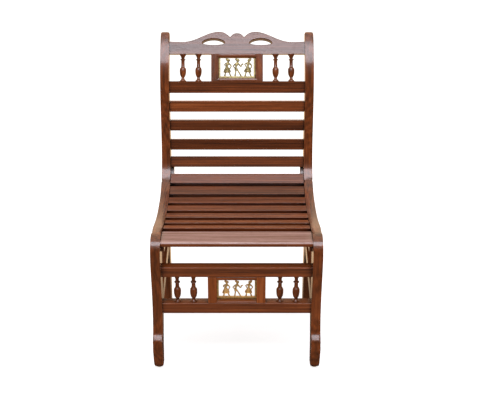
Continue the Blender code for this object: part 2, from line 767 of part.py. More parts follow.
def back_panel_rail():
    """Lower rail of the back panel; its top is cut square to the panel above it."""
    matrix = on_line(BACK_RAIL_TOP - BACK_RAIL_WIDTH / 2, PANEL_DEPTH)
    cut = (world(0.0, PANEL_FOOT), Vector((0, PANEL_ALONG.x, PANEL_ALONG.y)))
    tenoned_bar("back_panel_rail", matrix, (BETWEEN, PANEL_THICKNESS, BACK_RAIL_WIDTH),
                SLAT_ROUND / 2, POSTS, top_cut=cut, tall=PANEL_THICKNESS / 2)


def crest_half():
    """Right half of the scalloped top edge, from the middle out, as (across, up)."""
    fall = CREST_BUTTON_HEIGHT - CREST_NOTCH_HEIGHT
    button = smooth_line((
        (0.0, CREST_BUTTON_HEIGHT),
        (CREST_NOTCH_OFFSET * 0.45, CREST_BUTTON_HEIGHT - 0.13 * fall),
        (CREST_NOTCH_OFFSET * 0.8, CREST_BUTTON_HEIGHT - 0.6 * fall),
        (CREST_NOTCH_OFFSET, CREST_NOTCH_HEIGHT),
    ))
    drop = CREST_HUMP_HEIGHT - CREST_END_HEIGHT
    run = INNER - CREST_HUMP_OFFSET
    rise = CREST_HUMP_HEIGHT - CREST_NOTCH_HEIGHT
    reach = CREST_HUMP_OFFSET - CREST_NOTCH_OFFSET
    hump = smooth_line((
        (CREST_NOTCH_OFFSET, CREST_NOTCH_HEIGHT),
        (CREST_NOTCH_OFFSET + 0.30 * reach, CREST_NOTCH_HEIGHT + 0.55 * rise),
        (CREST_NOTCH_OFFSET + 0.62 * reach, CREST_NOTCH_HEIGHT + 0.90 * rise),
        (CREST_HUMP_OFFSET, CREST_HUMP_HEIGHT),
        (CREST_HUMP_OFFSET + 0.13 * run, CREST_HUMP_HEIGHT - 0.09 * drop),
        (CREST_HUMP_OFFSET + 0.29 * run, CREST_HUMP_HEIGHT - 0.38 * drop),
        (CREST_HUMP_OFFSET + 0.47 * run, CREST_HUMP_HEIGHT - 0.77 * drop),
        (CREST_HUMP_OFFSET + 0.65 * run, CREST_HUMP_HEIGHT - 1.02 * drop),
        (CREST_HUMP_OFFSET + 0.82 * run, CREST_HUMP_HEIGHT - 1.05 * drop),
        (INNER, CREST_END_HEIGHT),
    ))
    return simplified(button)[:-1] + simplified(hump)


def leaf(side):
    """Outline of a leaf-shaped piercing: two arcs that meet in points."""
    steps = 7
    half = LEAF_LENGTH / 2
    upper = [(half * math.cos(math.pi * i / steps), LEAF_RISE * math.sin(math.pi * i / steps) ** 1.3)
             for i in range(steps)]
    lower = [(-half * math.cos(math.pi * i / steps), -LEAF_FALL * math.sin(math.pi * i / steps) ** 0.9)
             for i in range(steps)]
    return [(side * (LEAF_OFFSET + x), LEAF_TIP_HEIGHT + z) for x, z in upper + lower]


def add_front_view_plate(bm, outline, thickness):
    """Extrude an outline of (across, up) points evenly about local y = 0."""
    front = [bm.verts.new((x, -thickness / 2, z)) for x, z in outline]
    back = [bm.verts.new((x, thickness / 2, z)) for x, z in outline]
    bm.faces.new(front)
    bm.faces.new(back[::-1])
    for i in range(len(outline)):
        j = (i + 1) % len(outline)
        bm.faces.new((front[i], back[i], back[j], front[j]))


def crest_rail():
    """Scalloped and pierced crest rail, reclined like the tops of the posts."""
    matrix = tilt(PANEL_HEAD, CREST_ALONG)
    half = crest_half()
    below = -PANEL_THICKNESS / 2
    half[-1] = Vector((INNER + OVERCUT, CREST_END_HEIGHT))
    outline = [(p.x, p.y) for p in half] + [(INNER + OVERCUT, below), (-INNER - OVERCUT, below)]
    outline += [(-p.x, p.y) for p in half[:0:-1]]
    bm = bmesh.new()
    add_front_view_plate(bm, outline, PANEL_THICKNESS)
    turn = matrix.inverted().to_3x3()
    trim(bm, (0, 0, 0), turn @ Vector((0, -PANEL_ALONG.x, -PANEL_ALONG.y)))
    rail = piece("crest_rail", bm, matrix)
    leaves = bmesh.new()
    for side in (-1, 1):
        add_front_view_plate(leaves, leaf(side), PANEL_THICKNESS + 2 * OVERCUT)
    leaves.transform(matrix)
    combine(rail, leaves, "DIFFERENCE")
    ease_and_square(rail)
    crest_tenons(rail, matrix @ Matrix.Translation((0, 0, CREST_END_HEIGHT / 2)))


def crest_tenons(rail, centre):
    """Tenons on the ends of the crest rail and the blind mortises for them in the posts."""
    tongue = bmesh.new()
    for host, side in POSTS:
        add_box(tongue, centre @ Matrix.Translation((side * INNER, 0, 0)),
                (2 * SLAT_TENON, SLAT_TENON_THICKNESS, CREST_TENON_WIDTH))
        depth = SLAT_TENON + FIT + OVERCUT
        middle = side * (INNER + SLAT_TENON + FIT - depth / 2)
        add_box(cutter(host), centre @ Matrix.Translation((middle, 0, 0)),
                (depth, SLAT_TENON_THICKNESS + 2 * FIT, CREST_TENON_WIDTH + 2 * FIT))
    combine(rail, tongue, "UNION")


def ease_and_square(rail):
    """Round the crest rail's edges, then cut its ends square against the posts."""
    bm = bmesh.new()
    bm.from_mesh(rail.data)
    bmesh.ops.remove_doubles(bm, verts=bm.verts, dist=1e-5)
    limit = math.radians(40)
    sharp = [e for e in bm.edges if e.is_manifold and e.calc_face_angle() > limit and not runs_through(e)]
    bmesh.ops.bevel(bm, geom=sharp, offset=CREST_ROUND, segments=ROUND_STEPS, profile=0.5,
                    affect="EDGES", clamp_overlap=True)
    for side in (-1, 1):
        trim(bm, (side * (INNER - FIT), 0, 0), (side, 0, 0))
    bmesh.ops.recalc_face_normals(bm, faces=bm.faces)
    bm.to_mesh(rail.data)
    bm.free()


def runs_through(edge):
    """Whether an edge runs straight from the front of the plank to its back."""
    reach = edge.verts[0].co - edge.verts[1].co
    return abs(reach.y) > PANEL_THICKNESS / 2


def baluster_profile(length, ring):
    """Radii of a turned baluster from its foot up, with a round tenon at each end."""
    shape = (
        (0.000, 1.00), (0.024, 1.00), (0.048, 0.72), (0.075, 0.54), (0.115, 0.62), (0.180, 0.87),
        (0.260, 1.00), (0.475, 1.00), (0.512, 0.90), (0.525, 0.66), (0.600, 0.50),
        (ring - 0.025, 0.50), (ring - 0.012, 0.80), (ring + 0.012, 0.80), (ring + 0.025, 0.52),
        (0.5 * (1 + ring), 0.50), (0.960, 0.70), (0.985, 0.95), (1.0, 0.95),
    )
    body = [(height * length, radius * BALUSTER_RADIUS) for height, radius in shape]
    foot = [(-BALUSTER_TENON, BALUSTER_TENON_RADIUS), (0.0, BALUSTER_TENON_RADIUS)]
    head = [(length, BALUSTER_TENON_RADIUS), (length + BALUSTER_TENON, BALUSTER_TENON_RADIUS)]
    return foot + body + head


def balusters(word, base, height):
    """Turned balusters beside a panel, in round holes in the rails below and above."""
    sizes = PANELS[word]
    offsets = sorted(side * (INNER - inset) for side in (-1, 1) for inset in sizes["balusters"])
    radius = BALUSTER_TENON_RADIUS + FIT
    ends = ((-BALUSTER_TENON - FIT, OVERCUT), (height - OVERCUT, height + BALUSTER_TENON + FIT))
    for number, offset in enumerate(offsets, 1):
        place = base @ Matrix.Translation((offset, 0, FIT))
        bm = bmesh.new()
        profile = baluster_profile(height - 2 * FIT, sizes["ring"])
        add_turned(bm, profile, BALUSTER_SIDES, Matrix.Identity(4))
        piece(f"{word}_baluster_{number}", bm, place)
        for host, (low, high) in zip(sizes["rails"], ends):
            add_turned(cutter(host), [(low, radius), (high, radius)], BALUSTER_SIDES, place)


def panel_stiles(word, base, height):
    """Two uprights that frame a brass panel, tenoned into the rails."""
    sizes = PANELS[word]
    tenon_width = sizes["stile"] - 2 * STILE_SHOULDER
    for side_word, side in SIDES:
        place = base @ Matrix.Translation((side * sizes["spacing"] / 2, 0, height / 2))
        bm = bmesh.new()
        add_bar(bm, (height - 2 * FIT, sizes["thickness"], sizes["stile"]), EASED_EDGE)
        turned = place @ Matrix.Rotation(math.radians(90), 4, "Y")
        stile = piece(f"{word}_stile_{side_word}", bm, turned)
        tongue = bmesh.new()
        add_box(tongue, place, (tenon_width, STILE_TENON_THICKNESS, height + 2 * STILE_TENON))
        combine(stile, tongue, "UNION")
        for host, end in zip(sizes["rails"], (-1, 1)):
            depth = STILE_TENON + FIT + OVERCUT
            middle = end * (height / 2 + STILE_TENON + FIT - depth / 2)
            add_box(cutter(host), place @ Matrix.Translation((0, 0, middle)),
                    (tenon_width + 2 * FIT, STILE_TENON_THICKNESS + 2 * FIT, depth))


def panel_strips(word, base, height):
    """Head and sill strips that close the panel's opening above and below the brass."""
    sizes = PANELS[word]
    across = sizes["spacing"] - sizes["stile"] - 2 * FIT
    for end, middle in (("sill", (sizes["sill"] + FIT) / 2),
                        ("head", height - (sizes["head"] + FIT) / 2)):
        bm = bmesh.new()
        add_bar(bm, (across, sizes["thickness"], sizes[end] - FIT), EASED_EDGE)
        piece(f"{word}_panel_{end}", bm, base @ Matrix.Translation((0, 0, middle)))


# Joints of the three small figures, across and up in units of a 58-unit height
FIGURE_HEIGHT = 58
FIGURES = (
    {
        "head": (2, 51), "bun": (-2, 54), "neck": (1, 45), "chest": (0, 40), "waist": (-2, 30),
        "hem": (-1, 13), "elbow_a": (-9, 37), "hand_a": (-4, 32), "elbow_b": (10, 33),
        "hand_b": (5, 23), "knee_a": (-6, 10), "foot_a": (-8, 0), "knee_b": (5, 10), "foot_b": (9, 0),
    },
    {
        "head": (3, 51), "bun": (-1, 54), "neck": (2, 45), "chest": (0, 39), "waist": (-3, 27),
        "hem": None, "elbow_a": (-10, 33), "hand_a": (-5, 26), "elbow_b": (11, 30),
        "hand_b": (18, 37), "knee_a": (-3, 13), "foot_a": (-5, 0), "knee_b": (5, 15), "foot_b": (12, 0),
    },
    {
        "head": (3, 51), "bun": (6, 54), "neck": (2, 45), "chest": (0, 40), "waist": (0, 30),
        "hem": (-1, 14), "elbow_a": (-9, 39), "hand_a": (-5, 31), "elbow_b": (11, 33),
        "hand_b": (6, 24), "knee_a": (-6, 10), "foot_a": (-8, 0), "knee_b": (5, 10), "foot_b": (8, 0),
    },
)
BEADS = (("head", 4.2), ("bun", 3.3))
RODS = (
    ("head", "chest", 2.0, 2.6), ("chest", "waist", 3.9, 2.5),
    ("neck", "elbow_a", 1.9, 1.6), ("elbow_a", "hand_a", 1.65, 1.3),
    ("neck", "elbow_b", 2.0, 1.6), ("elbow_b", "hand_b", 1.7, 1.35),
    ("waist", "knee_a", 2.6, 2.0), ("knee_a", "foot_a", 2.05, 1.6),
    ("waist", "knee_b", 2.7, 1.95), ("knee_b", "foot_b", 2.0, 1.65),
)
SKIRT = ("waist", "hem", 2.9, 8.4)


def add_limb(bm, start, end, radius_a, radius_b, sides):
    """A tapered rod between two points of the panel's plane."""
    a = Vector((start[0], 0, start[1]))
    b = Vector((end[0], 0, end[1]))
    turn = (b - a).to_track_quat("Z", "Y").to_matrix().to_4x4()
    matrix = Matrix.Translation((a + b) / 2) @ turn
    bmesh.ops.create_cone(bm, cap_ends=True, segments=sides, radius1=radius_a, radius2=radius_b,
                          depth=(b - a).length, matrix=matrix)


def add_figure(bm, joints, at, ground, unit):
    """One small cast figure of rods and beads, standing on the ground strip."""
    place = {name: Vector((at + spot[0] * unit, ground + spot[1] * unit))
             for name, spot in joints.items() if spot}
    for name, radius in BEADS:
        centre = Matrix.Translation((place[name].x, 0, place[name].y))
        turn = Matrix.Rotation(math.radians(17), 4, "Y")
        bmesh.ops.create_icosphere(bm, subdivisions=1, radius=radius * unit, matrix=centre @ turn)
    for start, end, radius_a, radius_b in RODS:
        past = place[end] + (place[end] - place[start]).normalized() * unit
        add_limb(bm, place[start], past, radius_a * unit, radius_b * unit, LIMB_SIDES)
    if joints["hem"]:
        start, end, radius_a, radius_b = SKIRT
        add_limb(bm, place[start], place[end], radius_a * unit, radius_b * unit, HEM_SIDES)


def brass_panel(word, base, height):
    """A pierced casting: side bars and a ground strip, with three dancing figures on it."""
    sizes = PANELS[word]
    width = sizes["spacing"] - sizes["stile"]
    height = height - sizes["head"] - sizes["sill"]
    place = base @ Matrix.Translation((0, 0, sizes["sill"]))
    across, top = width / 2 + BRASS_LAP - FIT, height + BRASS_LAP - FIT
    outline = [(-across, FIT - BRASS_LAP), (across, FIT - BRASS_LAP), (across, top), (-across, top)]
    bm = bmesh.new()
    add_front_view_plate(bm, outline, BRASS_THICKNESS)
    panel = piece(f"{word}_brass_panel", bm, place, "brass")
    window = bmesh.new()
    add_box(window, place @ Matrix.Translation((0, 0, (BRASS_GROUND + height) / 2)),
            (width - 2 * BRASS_BAR, BRASS_THICKNESS + 2 * OVERCUT, height - BRASS_GROUND))
    combine(panel, window, "DIFFERENCE")
    figures = bmesh.new()
    unit = (height - BRASS_GROUND - FIGURE_HEADROOM) / FIGURE_HEIGHT
    for joints, at in zip(FIGURES, FIGURE_PLACES):
        add_figure(figures, joints, at, BRASS_GROUND, unit)
    figures.transform(place @ Matrix.Diagonal((1, FIGURE_FLATNESS, 1, 1)))
    combine(panel, figures, "UNION")
    brass_grooves(word, place, width, height)


def brass_grooves(word, place, width, height):
    """Grooves for the casting's edges in the stiles and in the head and sill strips."""
    slot = BRASS_LAP + OVERCUT
    reach = slot / 2 - BRASS_LAP
    tall, wide = height + 2 * BRASS_LAP, width + 2 * OVERCUT
    grooves = {
        f"{word}_stile_left": ((-width / 2 + reach, height / 2), (slot, tall)),
        f"{word}_stile_right": ((width / 2 - reach, height / 2), (slot, tall)),
        f"{word}_panel_sill": ((0.0, reach), (wide, slot)),
        f"{word}_panel_head": ((0.0, height - reach), (wide, slot)),
    }
    for host, (centre, size) in grooves.items():
        add_box(cutter(host), place @ Matrix.Translation((centre[0], 0, centre[1])),
                (size[0], BRASS_THICKNESS + 2 * FIT, size[1]))


def panel(word, base, height):
    """Everything between a panel's two rails, which are a given height apart."""
    panel_stiles(word, base, height)
    panel_strips(word, base, height)
    brass_panel(word, base, height)
    balusters(word, base, height)


def front_rail(name, foot, width):
    """A rail between the front legs, its underside at the height given."""
    middle = FRONT_RAIL_SETBACK + FRONT_RAIL_THICKNESS / 2
    tenoned_bar(name, upright(middle, foot + width / 2), (BETWEEN, FRONT_RAIL_THICKNESS, width),
                SLAT_ROUND / 2, FRONT_LEGS,
                tenon=(SLAT_TENON, SLAT_TENON_THICKNESS, width - 2 * RAIL_SHOULDER))


def front_panel():
    """Two rails between the front legs and the panel they frame."""
    head = KNEE_HEIGHT - UPPER_RAIL_DROP - UPPER_RAIL_WIDTH
    foot = head - FRONT_OPENING
    front_rail("front_upper_rail", head, UPPER_RAIL_WIDTH)
    front_rail("front_lower_rail", foot - LOWER_RAIL_WIDTH, LOWER_RAIL_WIDTH)
    middle = FRONT_RAIL_SETBACK + FRONT_RAIL_THICKNESS / 2
    panel("front", upright(middle, foot), FRONT_OPENING)


def rear_rail():
    """Board under the cleats at the foot of the back, tenoned into the seat rails."""
    under_cleats = SEAT_SLAT_RECESS + SEAT_SLAT_THICKNESS + CLEAT_DEPTH + REAR_RAIL_CLEARANCE
    matrix = on_line(FOOT_OF_BACK - REAR_RAIL_SETBACK, under_cleats + REAR_RAIL_THICKNESS / 2)
    tenoned_bar("rear_rail", matrix, (BETWEEN, REAR_RAIL_THICKNESS, REAR_RAIL_WIDTH),
                SLAT_ROUND / 2, SEAT_RAILS,
                tenon=(SLAT_TENON, SLAT_TENON_THICKNESS, REAR_RAIL_TENON_WIDTH))


def glide_centres():
    """Name of each glide with the point on the floor under the middle of its foot."""
    outline = [point.x for point in front_leg_outline() if point.y == 0.0]
    front = (min(outline) + max(outline)) / 2
    rear = (rear_leg_edge(0.0, False) + rear_leg_edge(0.0, True)) / 2
    return [(f"foot_glide_{end}_{word}", Vector((side * FRAME_X, back - MIDDLE, 0.0)))
            for end, back in (("front", front), ("rear", rear)) for word, side in SIDES]


def glides():
    """Chamfered nylon pads under the feet."""
    section = [(0.0, GLIDE_RADIUS - GLIDE_CHAMFER), (GLIDE_CHAMFER, GLIDE_RADIUS),
               (GLIDE_HEIGHT - FIT, GLIDE_RADIUS)]
    for name, centre in glide_centres():
        bm = bmesh.new()
        add_turned(bm, section, GLIDE_SIDES, Matrix.Identity(4))
        piece(name, bm, Matrix.Translation(centre), "nylon")


def cut_joints():
    """Cut every mortise, groove and hole that the pieces asked for."""
    for name, bm in cutters.items():
        combine(bpy.data.objects[name], bm, "DIFFERENCE")


def shade():
    for obj in bpy.data.objects:
        if obj.type == "MESH":
            obj.data.shade_smooth()
            obj.data.set_sharp_from_angle(angle=math.radians(35))


for leftover in list(bpy.data.objects):
    bpy.data.objects.remove(leftover)
ROOT = chair_root()
front_legs()
back_posts()
seat_rails()
rear_legs()
side_stretchers()
cleats()
front_slat()
seat_slats()
back_slats()
crest_rail()
back_panel_rail()
panel("back", tilt(PANEL_FOOT, PANEL_ALONG), PANEL_HEIGHT)
front_panel()
rear_rail()
cleat_screws()
glides()
cut_joints()
shade()
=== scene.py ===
# %% [markdown]
# # A low teak chair with turned balusters and cast brass panels
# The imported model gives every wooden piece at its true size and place. This lesson adds what
# the eye sees on them: polished teak with its grain, cast brass, the finely turned balusters,
# the screws under the seat, and the light of a white studio.
#
# Lengths are in metres, +Y is the back of the chair and +Z is up.

# %% Load the frame
import functools
import math

import bmesh
import bpy
from mathutils import Matrix, Vector


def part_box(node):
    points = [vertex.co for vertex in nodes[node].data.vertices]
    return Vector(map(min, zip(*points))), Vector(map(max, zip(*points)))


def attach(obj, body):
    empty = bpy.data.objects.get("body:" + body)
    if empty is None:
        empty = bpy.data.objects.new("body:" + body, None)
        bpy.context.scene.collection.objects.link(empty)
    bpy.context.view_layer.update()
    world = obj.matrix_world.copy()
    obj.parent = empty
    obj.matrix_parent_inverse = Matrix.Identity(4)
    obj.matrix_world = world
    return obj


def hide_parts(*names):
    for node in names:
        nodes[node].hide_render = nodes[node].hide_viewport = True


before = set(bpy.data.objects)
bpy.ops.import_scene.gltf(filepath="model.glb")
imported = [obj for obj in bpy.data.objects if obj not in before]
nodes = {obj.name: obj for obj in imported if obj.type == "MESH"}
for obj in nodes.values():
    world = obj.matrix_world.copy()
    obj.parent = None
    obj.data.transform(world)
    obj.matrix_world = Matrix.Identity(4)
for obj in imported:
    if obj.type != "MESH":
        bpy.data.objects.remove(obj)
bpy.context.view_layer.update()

# %% [markdown]
# ## Camera
# The picture was taken from in front of the chair and a little above the seat back, looking
# down by 22 degrees. Even gaps between the slats and feet that hide behind the lower front
# rail fix that pitch; the outline's width at each height fixes the distance and the lens.

# %% Camera
CAMERA_PLACE = (0.0108, -2.9661, 1.6494)
CAMERA_PITCH = math.radians(22)
LENS = 67.5
SENSOR = 36.0

lens = bpy.data.cameras.new("photo_view")
lens.lens, lens.sensor_width = LENS, SENSOR
camera = bpy.data.objects.new("photo_view", lens)
camera.location = CAMERA_PLACE
camera.rotation_euler = (math.pi / 2 - CAMERA_PITCH, 0.0, 0.0)
bpy.context.scene.collection.objects.link(camera)
bpy.context.scene.camera = camera

# %% [markdown]
# ## Small helpers for materials
# A colour is written as on a paint card, in sRGB hex, and turned to the linear values that
# Blender reckons with. One function adds a node, sets it and links it, in a material and in
# a Geometry Nodes tree alike; a colour ramp gets its stops there too.

# %% Colour and node helpers
def linear(hex_colour):
    """Linear RGBA of an sRGB hex colour."""
    shares = [int(hex_colour[i:i + 2], 16) / 255 for i in (1, 3, 5)]
    return (*[s / 12.92 if s <= 0.04045 else ((s + 0.055) / 1.055) ** 2.4 for s in shares], 1.0)


def add(tree, kind, inputs=None, stops=(), **settings):
    """Add a node, set it, and feed its inputs with values or with other nodes' outputs."""
    node = tree.nodes.new(kind)
    for name, value in settings.items():
        setattr(node, name, value)
    for socket, source in (inputs or {}).items():
        if isinstance(source, bpy.types.NodeSocket):
            tree.links.new(source, node.inputs[socket])
        else:
            node.inputs[socket].default_value = source
    if stops:
        band = node.color_ramp.elements
        while len(band) < len(stops):
            band.new(1.0)
        for element, (place, colour) in zip(band, stops):
            element.position = place
            element.color = linear(colour)
    return node


def new_finish(name):
    """A new material with its tree and its Principled shader."""
    material = bpy.data.materials.new(name)
    material.use_nodes = True
    return material, material.node_tree, material.node_tree.nodes["Principled BSDF"]


# %% [markdown]
# ## Light and surroundings
# A white studio: a pale floor, white paper behind and overhead, and one wide soft lamp hung
# high in front of the chair. The soft lamp is what lies on the crest rail, the knees and the
# toes as a lilac sheen, so its height comes from those places: they mirror directions from
# 45 to 70 degrees up. Polished wood also mirrors the rest of the room. The dark faces turned
# to the camera show a dim room there, the warm sheen on the seat shows lit paper behind the
# chair, and so the mirrored room is a ramp over the angle from front through top to back.

# %% World
AMBIENT = 0.74
MIRROR_STRENGTH = 2.1
SIDE_SHADE, SIDES_FROM, SIDES_TO = 0.22, 0.45, 0.90
ROOM = ((0, "#2A2A2C"), (28, "#544F4E"), (45, "#C9C4C2"), (80, "#F2ECE8"), (105, "#F0DFCF"),
        (140, "#E2C9B2"), (160, "#DCC0A4"), (180, "#CBAB8E"))

world = bpy.data.worlds.new("white_studio")
bpy.context.scene.world = world
world.use_nodes = True
sky = world.node_tree
sky.nodes.clear()
toward = add(sky, "ShaderNodeTexCoord").outputs["Generated"]
toward = add(sky, "ShaderNodeSeparateXYZ", {"Vector": toward}).outputs
ahead = add(sky, "ShaderNodeMath", {0: toward["Y"], 1: -1.0}, operation="MULTIPLY").outputs[0]
angle = add(sky, "ShaderNodeMath", {0: toward["Z"], 1: ahead}, operation="ARCTAN2").outputs[0]
share = add(sky, "ShaderNodeMath", {0: angle, 1: math.pi}, operation="DIVIDE").outputs[0]
room = add(sky, "ShaderNodeValToRGB", {"Fac": share},
           stops=[(degrees / 180, colour) for degrees, colour in ROOM]).outputs["Color"]
aside = add(sky, "ShaderNodeMath", {0: toward["X"]}, operation="ABSOLUTE").outputs[0]
shade = add(sky, "ShaderNodeMapRange", {"Value": aside, "From Min": SIDES_FROM,
                                        "From Max": SIDES_TO, "To Min": MIRROR_STRENGTH,
                                        "To Max": MIRROR_STRENGTH * SIDE_SHADE}).outputs[0]
path = add(sky, "ShaderNodeLightPath")
ambient = add(sky, "ShaderNodeBackground", {"Color": (1, 1, 1, 1), "Strength": AMBIENT})
mirrored = add(sky, "ShaderNodeBackground", {"Color": room, "Strength": shade})
seen = add(sky, "ShaderNodeBackground", {"Color": (1, 1, 1, 1), "Strength": 1.0})
glossy = add(sky, "ShaderNodeMixShader", {0: path.outputs["Is Glossy Ray"],
                                          1: ambient.outputs[0], 2: mirrored.outputs[0]})
direct = add(sky, "ShaderNodeMixShader", {0: path.outputs["Is Camera Ray"],
                                          1: glossy.outputs[0], 2: seen.outputs[0]})
add(sky, "ShaderNodeOutputWorld", {"Surface": direct.outputs[0]})

# %% Lamps
def soft_lamp(name, place, target, size, radiance, colour):
    """A rectangular lamp that faces a point, as bright as its radiance whatever its size."""
    light = bpy.data.lights.new(name, "AREA")
    light.shape = "RECTANGLE"
    light.size, light.size_y = size
    light.energy = radiance * math.pi * size[0] * size[1]
    light.color = linear(colour)[:3]
    lamp = bpy.data.objects.new(name, light)
    lamp.location = place
    lamp.rotation_euler = (Vector(target) - Vector(place)).to_track_quat("-Z", "Y").to_euler()
    lamp.visible_camera = False
    bpy.context.scene.collection.objects.link(lamp)


soft_lamp("front_softbox", (0.0, -2.03, 3.95), (0.0, 0.64, 0.97), (2.5, 1.75), 7.6, "#F7F5FF")

# %% Floor
FLOOR_SIZE = 60.0
FLOOR_GLOW = 0.62
BRIGHT_BEHIND, DIM_BEFORE = 0.6, -0.1

floor_material, tree, shader = new_finish("studio_floor_matt_white")
grain = add(tree, "ShaderNodeTexNoise", {"Scale": 3.0, "Detail": 2.0})
white = add(tree, "ShaderNodeValToRGB", {"Fac": grain.outputs["Fac"]},
            stops=((0.0, "#E6E6E6"), (1.0, "#EAEAEA"))).outputs["Color"]
shader.inputs["Roughness"].default_value = 0.9
path = add(tree, "ShaderNodeLightPath").outputs
tint = add(tree, "ShaderNodeMix", {"Factor": path["Is Glossy Ray"], "A": (1, 1, 1, 1),
                                   "B": linear("#E3BE93")}, data_type="RGBA").outputs[2]
tree.links.new(tint, shader.inputs["Emission Color"])
spot = add(tree, "ShaderNodeTexCoord").outputs["Object"]
spot = add(tree, "ShaderNodeSeparateXYZ", {"Vector": spot}).outputs["Y"]
front = add(tree, "ShaderNodeMapRange", {"Value": spot, "From Min": BRIGHT_BEHIND,
                                         "From Max": DIM_BEFORE}).outputs[0]
dim = add(tree, "ShaderNodeMath", {0: path["Is Glossy Ray"], 1: front},
          operation="MULTIPLY").outputs[0]
warm = add(tree, "ShaderNodeMix", {"Factor": path["Is Glossy Ray"], "A": white,
                                   "B": linear("#D9B78F")}, data_type="RGBA").outputs[2]
paint = add(tree, "ShaderNodeMix", {"Factor": dim, "A": warm, "B": linear("#4A4540")},
            data_type="RGBA").outputs[2]
tree.links.new(paint, shader.inputs["Base Color"])
shown = add(tree, "ShaderNodeMath", {0: path["Is Diffuse Ray"], 1: dim},
            operation="ADD").outputs[0]
shown = add(tree, "ShaderNodeMath", {0: 1.0, 1: shown}, operation="SUBTRACT",
            use_clamp=True).outputs[0]
glow = add(tree, "ShaderNodeMath", {0: shown, 1: FLOOR_GLOW}, operation="MULTIPLY").outputs[0]
tree.links.new(glow, shader.inputs["Emission Strength"])
bm = bmesh.new()
bmesh.ops.create_grid(bm, x_segments=1, y_segments=1, size=FLOOR_SIZE / 2)
mesh = bpy.data.meshes.new("studio_floor")
bm.to_mesh(mesh)
bm.free()
mesh.materials.append(floor_material)
floor = bpy.data.objects.new("studio_floor", mesh)
bpy.context.scene.collection.objects.link(floor)
bpy.context.scene.view_settings.view_transform = "Standard"

# %% [markdown]
# ## Polished teak
# The frame is plantation teak, planed and sanded, stained reddish brown and polished with a
# clear film. To the eye that gives three things at once: soft streaks of dark and light
# wood that follow each piece's length, short dark pores, and a glossy film over both whose
# reflections stay white. Growth rings are drawn about 8 mm apart and the pores 0.6 mm wide,
# coarser than in most real boards, because finer ones wouldn't show in a small picture.
# Each piece is sawn along its length, so the recipe takes a cut: across the chair (x),
# upright (z) or leaning with the back (lean). The side frames are sawn from other boards, so
# their cuts have names of their own (frame_y, frame_z, frame_lean). No two boards are the
# same, so there are seven tones: five for the boards, of which the dull one also has less
# polish, and two that paint light. The darkest paints shade on the front faces of the seat
# slats; the pale lilac-grey one paints the soft lamp's sheen on the top of the front slat.
# The recipe also paints shade into corners and gaps, and a light tan on rounded edges that
# is partly wear and partly painted sheen. Each finish is made once, when a board first asks
# for it.

# %% Teak recipe
RING_WIDTH, WAVE_PERIOD = 0.008, 0.314
STREAK_WIDTH = 0.0045
FIBRE_WIDTH = 0.0011
PORE_WIDTH = 0.0006
STRETCH, DRIFT_SCALE = 0.028, 22.0
FILM_IOR = 1.50
SATIN, BUFFED = (0.24, 0.17), (0.17, 0.11)
POST_LEAN = math.radians(20)
CUTS = {"x": "x", "z": "z", "lean": "lean", "frame_y": "y", "frame_z": "z",
        "frame_lean": "lean"}
TURNS = {"x": (0, 0, 0), "y": (0, 0, -math.pi / 2), "z": (0, math.pi / 2, 0)}
RING_SHARE = 0.12
STREAK_SHARE, FIBRE_SHARE, DRIFT_SHARE = 0.75, 0.45, 0.50
DARKEST_LEVEL, LIGHTEST_LEVEL = 0.56, 1.18
PORE_FROM, PORE_TO, PORE_SHARE, PORE_DEPTH = 0.62, 0.70, 0.4, -1.2
# lighter tan on rounded edges: partly wear, partly painted sheen
RUB_SHEEN_RADIUS, RUB_SHEEN_FROM, RUB_SHEEN_TO, RUB_SHEEN_SHARE = 0.0022, 0.98, 0.80, 0.30
# painted shade in corners and gaps: how far it reaches and how dark it gets
PAINTED_SHADE_REACH, PAINTED_SHADE_FROM, PAINTED_SHADE_TO, PAINTED_SHADE_SHARE = 0.028, 0.40, 0.90, 0.85
TONE_SHIFT, CUT_SHIFT, OFF_HEART = 0.37, 0.13, (0.043, 0.071)
TONE_STOPS = (0.0, 0.38, 0.68, 1.0)
TONES = {
    # painted shade for the front faces of the seat slats
    "shaded_front": ("#200A03", "#3C1707", "#50220B", "#643010"),
    "dark": ("#250F05", "#451F0A", "#5B2B0F", "#733A1A"),
    "even": ("#2C1206", "#51270E", "#6B3415", "#864721"),
    "fair": ("#381908", "#602F11", "#7C3D18", "#985328"),
    "dull": ("#2F1307", "#54290F", "#6E3616", "#874923"),
    "warm": ("#40200E", "#6E3A1C", "#8E4C28", "#AE653A"),
    # the soft lamp's sheen, painted on the top of the front slat
    "painted_sheen": ("#5C3322", "#7E584A", "#997368", "#B69389"),
}
POLISH, LESS_POLISH = 0.5, {"dull": 0.27}


def grain_level(tree, board):
    """How light the wood is, from 0 to 1: rings, streaks, fine fibres and slow drift."""
    rings = add(tree, "ShaderNodeTexWave",
                {"Vector": board, "Scale": WAVE_PERIOD / RING_WIDTH, "Distortion": 11.0,
                 "Detail": 3.0, "Detail Scale": 0.35, "Detail Roughness": 0.6},
                wave_type="RINGS", rings_direction="X").outputs["Fac"]
    streaks = add(tree, "ShaderNodeTexNoise", {"Vector": board, "Scale": 1 / STREAK_WIDTH / 2,
                                               "Detail": 3.0, "Roughness": 0.6}).outputs["Fac"]
    fibres = add(tree, "ShaderNodeTexNoise", {"Vector": board, "Scale": 1 / FIBRE_WIDTH / 2,
                                              "Detail": 3.0, "Roughness": 0.7}).outputs["Fac"]
    drift = add(tree, "ShaderNodeTexNoise", {"Vector": board, "Scale": DRIFT_SCALE,
                                             "Detail": 2.0}).outputs["Fac"]
    level = add(tree, "ShaderNodeMath", {0: rings, 1: RING_SHARE},
                operation="MULTIPLY").outputs[0]
    for part, weight in ((streaks, STREAK_SHARE), (fibres, FIBRE_SHARE), (drift, DRIFT_SHARE)):
        level = add(tree, "ShaderNodeMath", {0: part, 1: weight, 2: level},
                    operation="MULTIPLY_ADD").outputs[0]
    level = add(tree, "ShaderNodeMapRange", {"Value": level, "From Min": DARKEST_LEVEL,
                                             "From Max": LIGHTEST_LEVEL}).outputs[0]
    return level, fibres


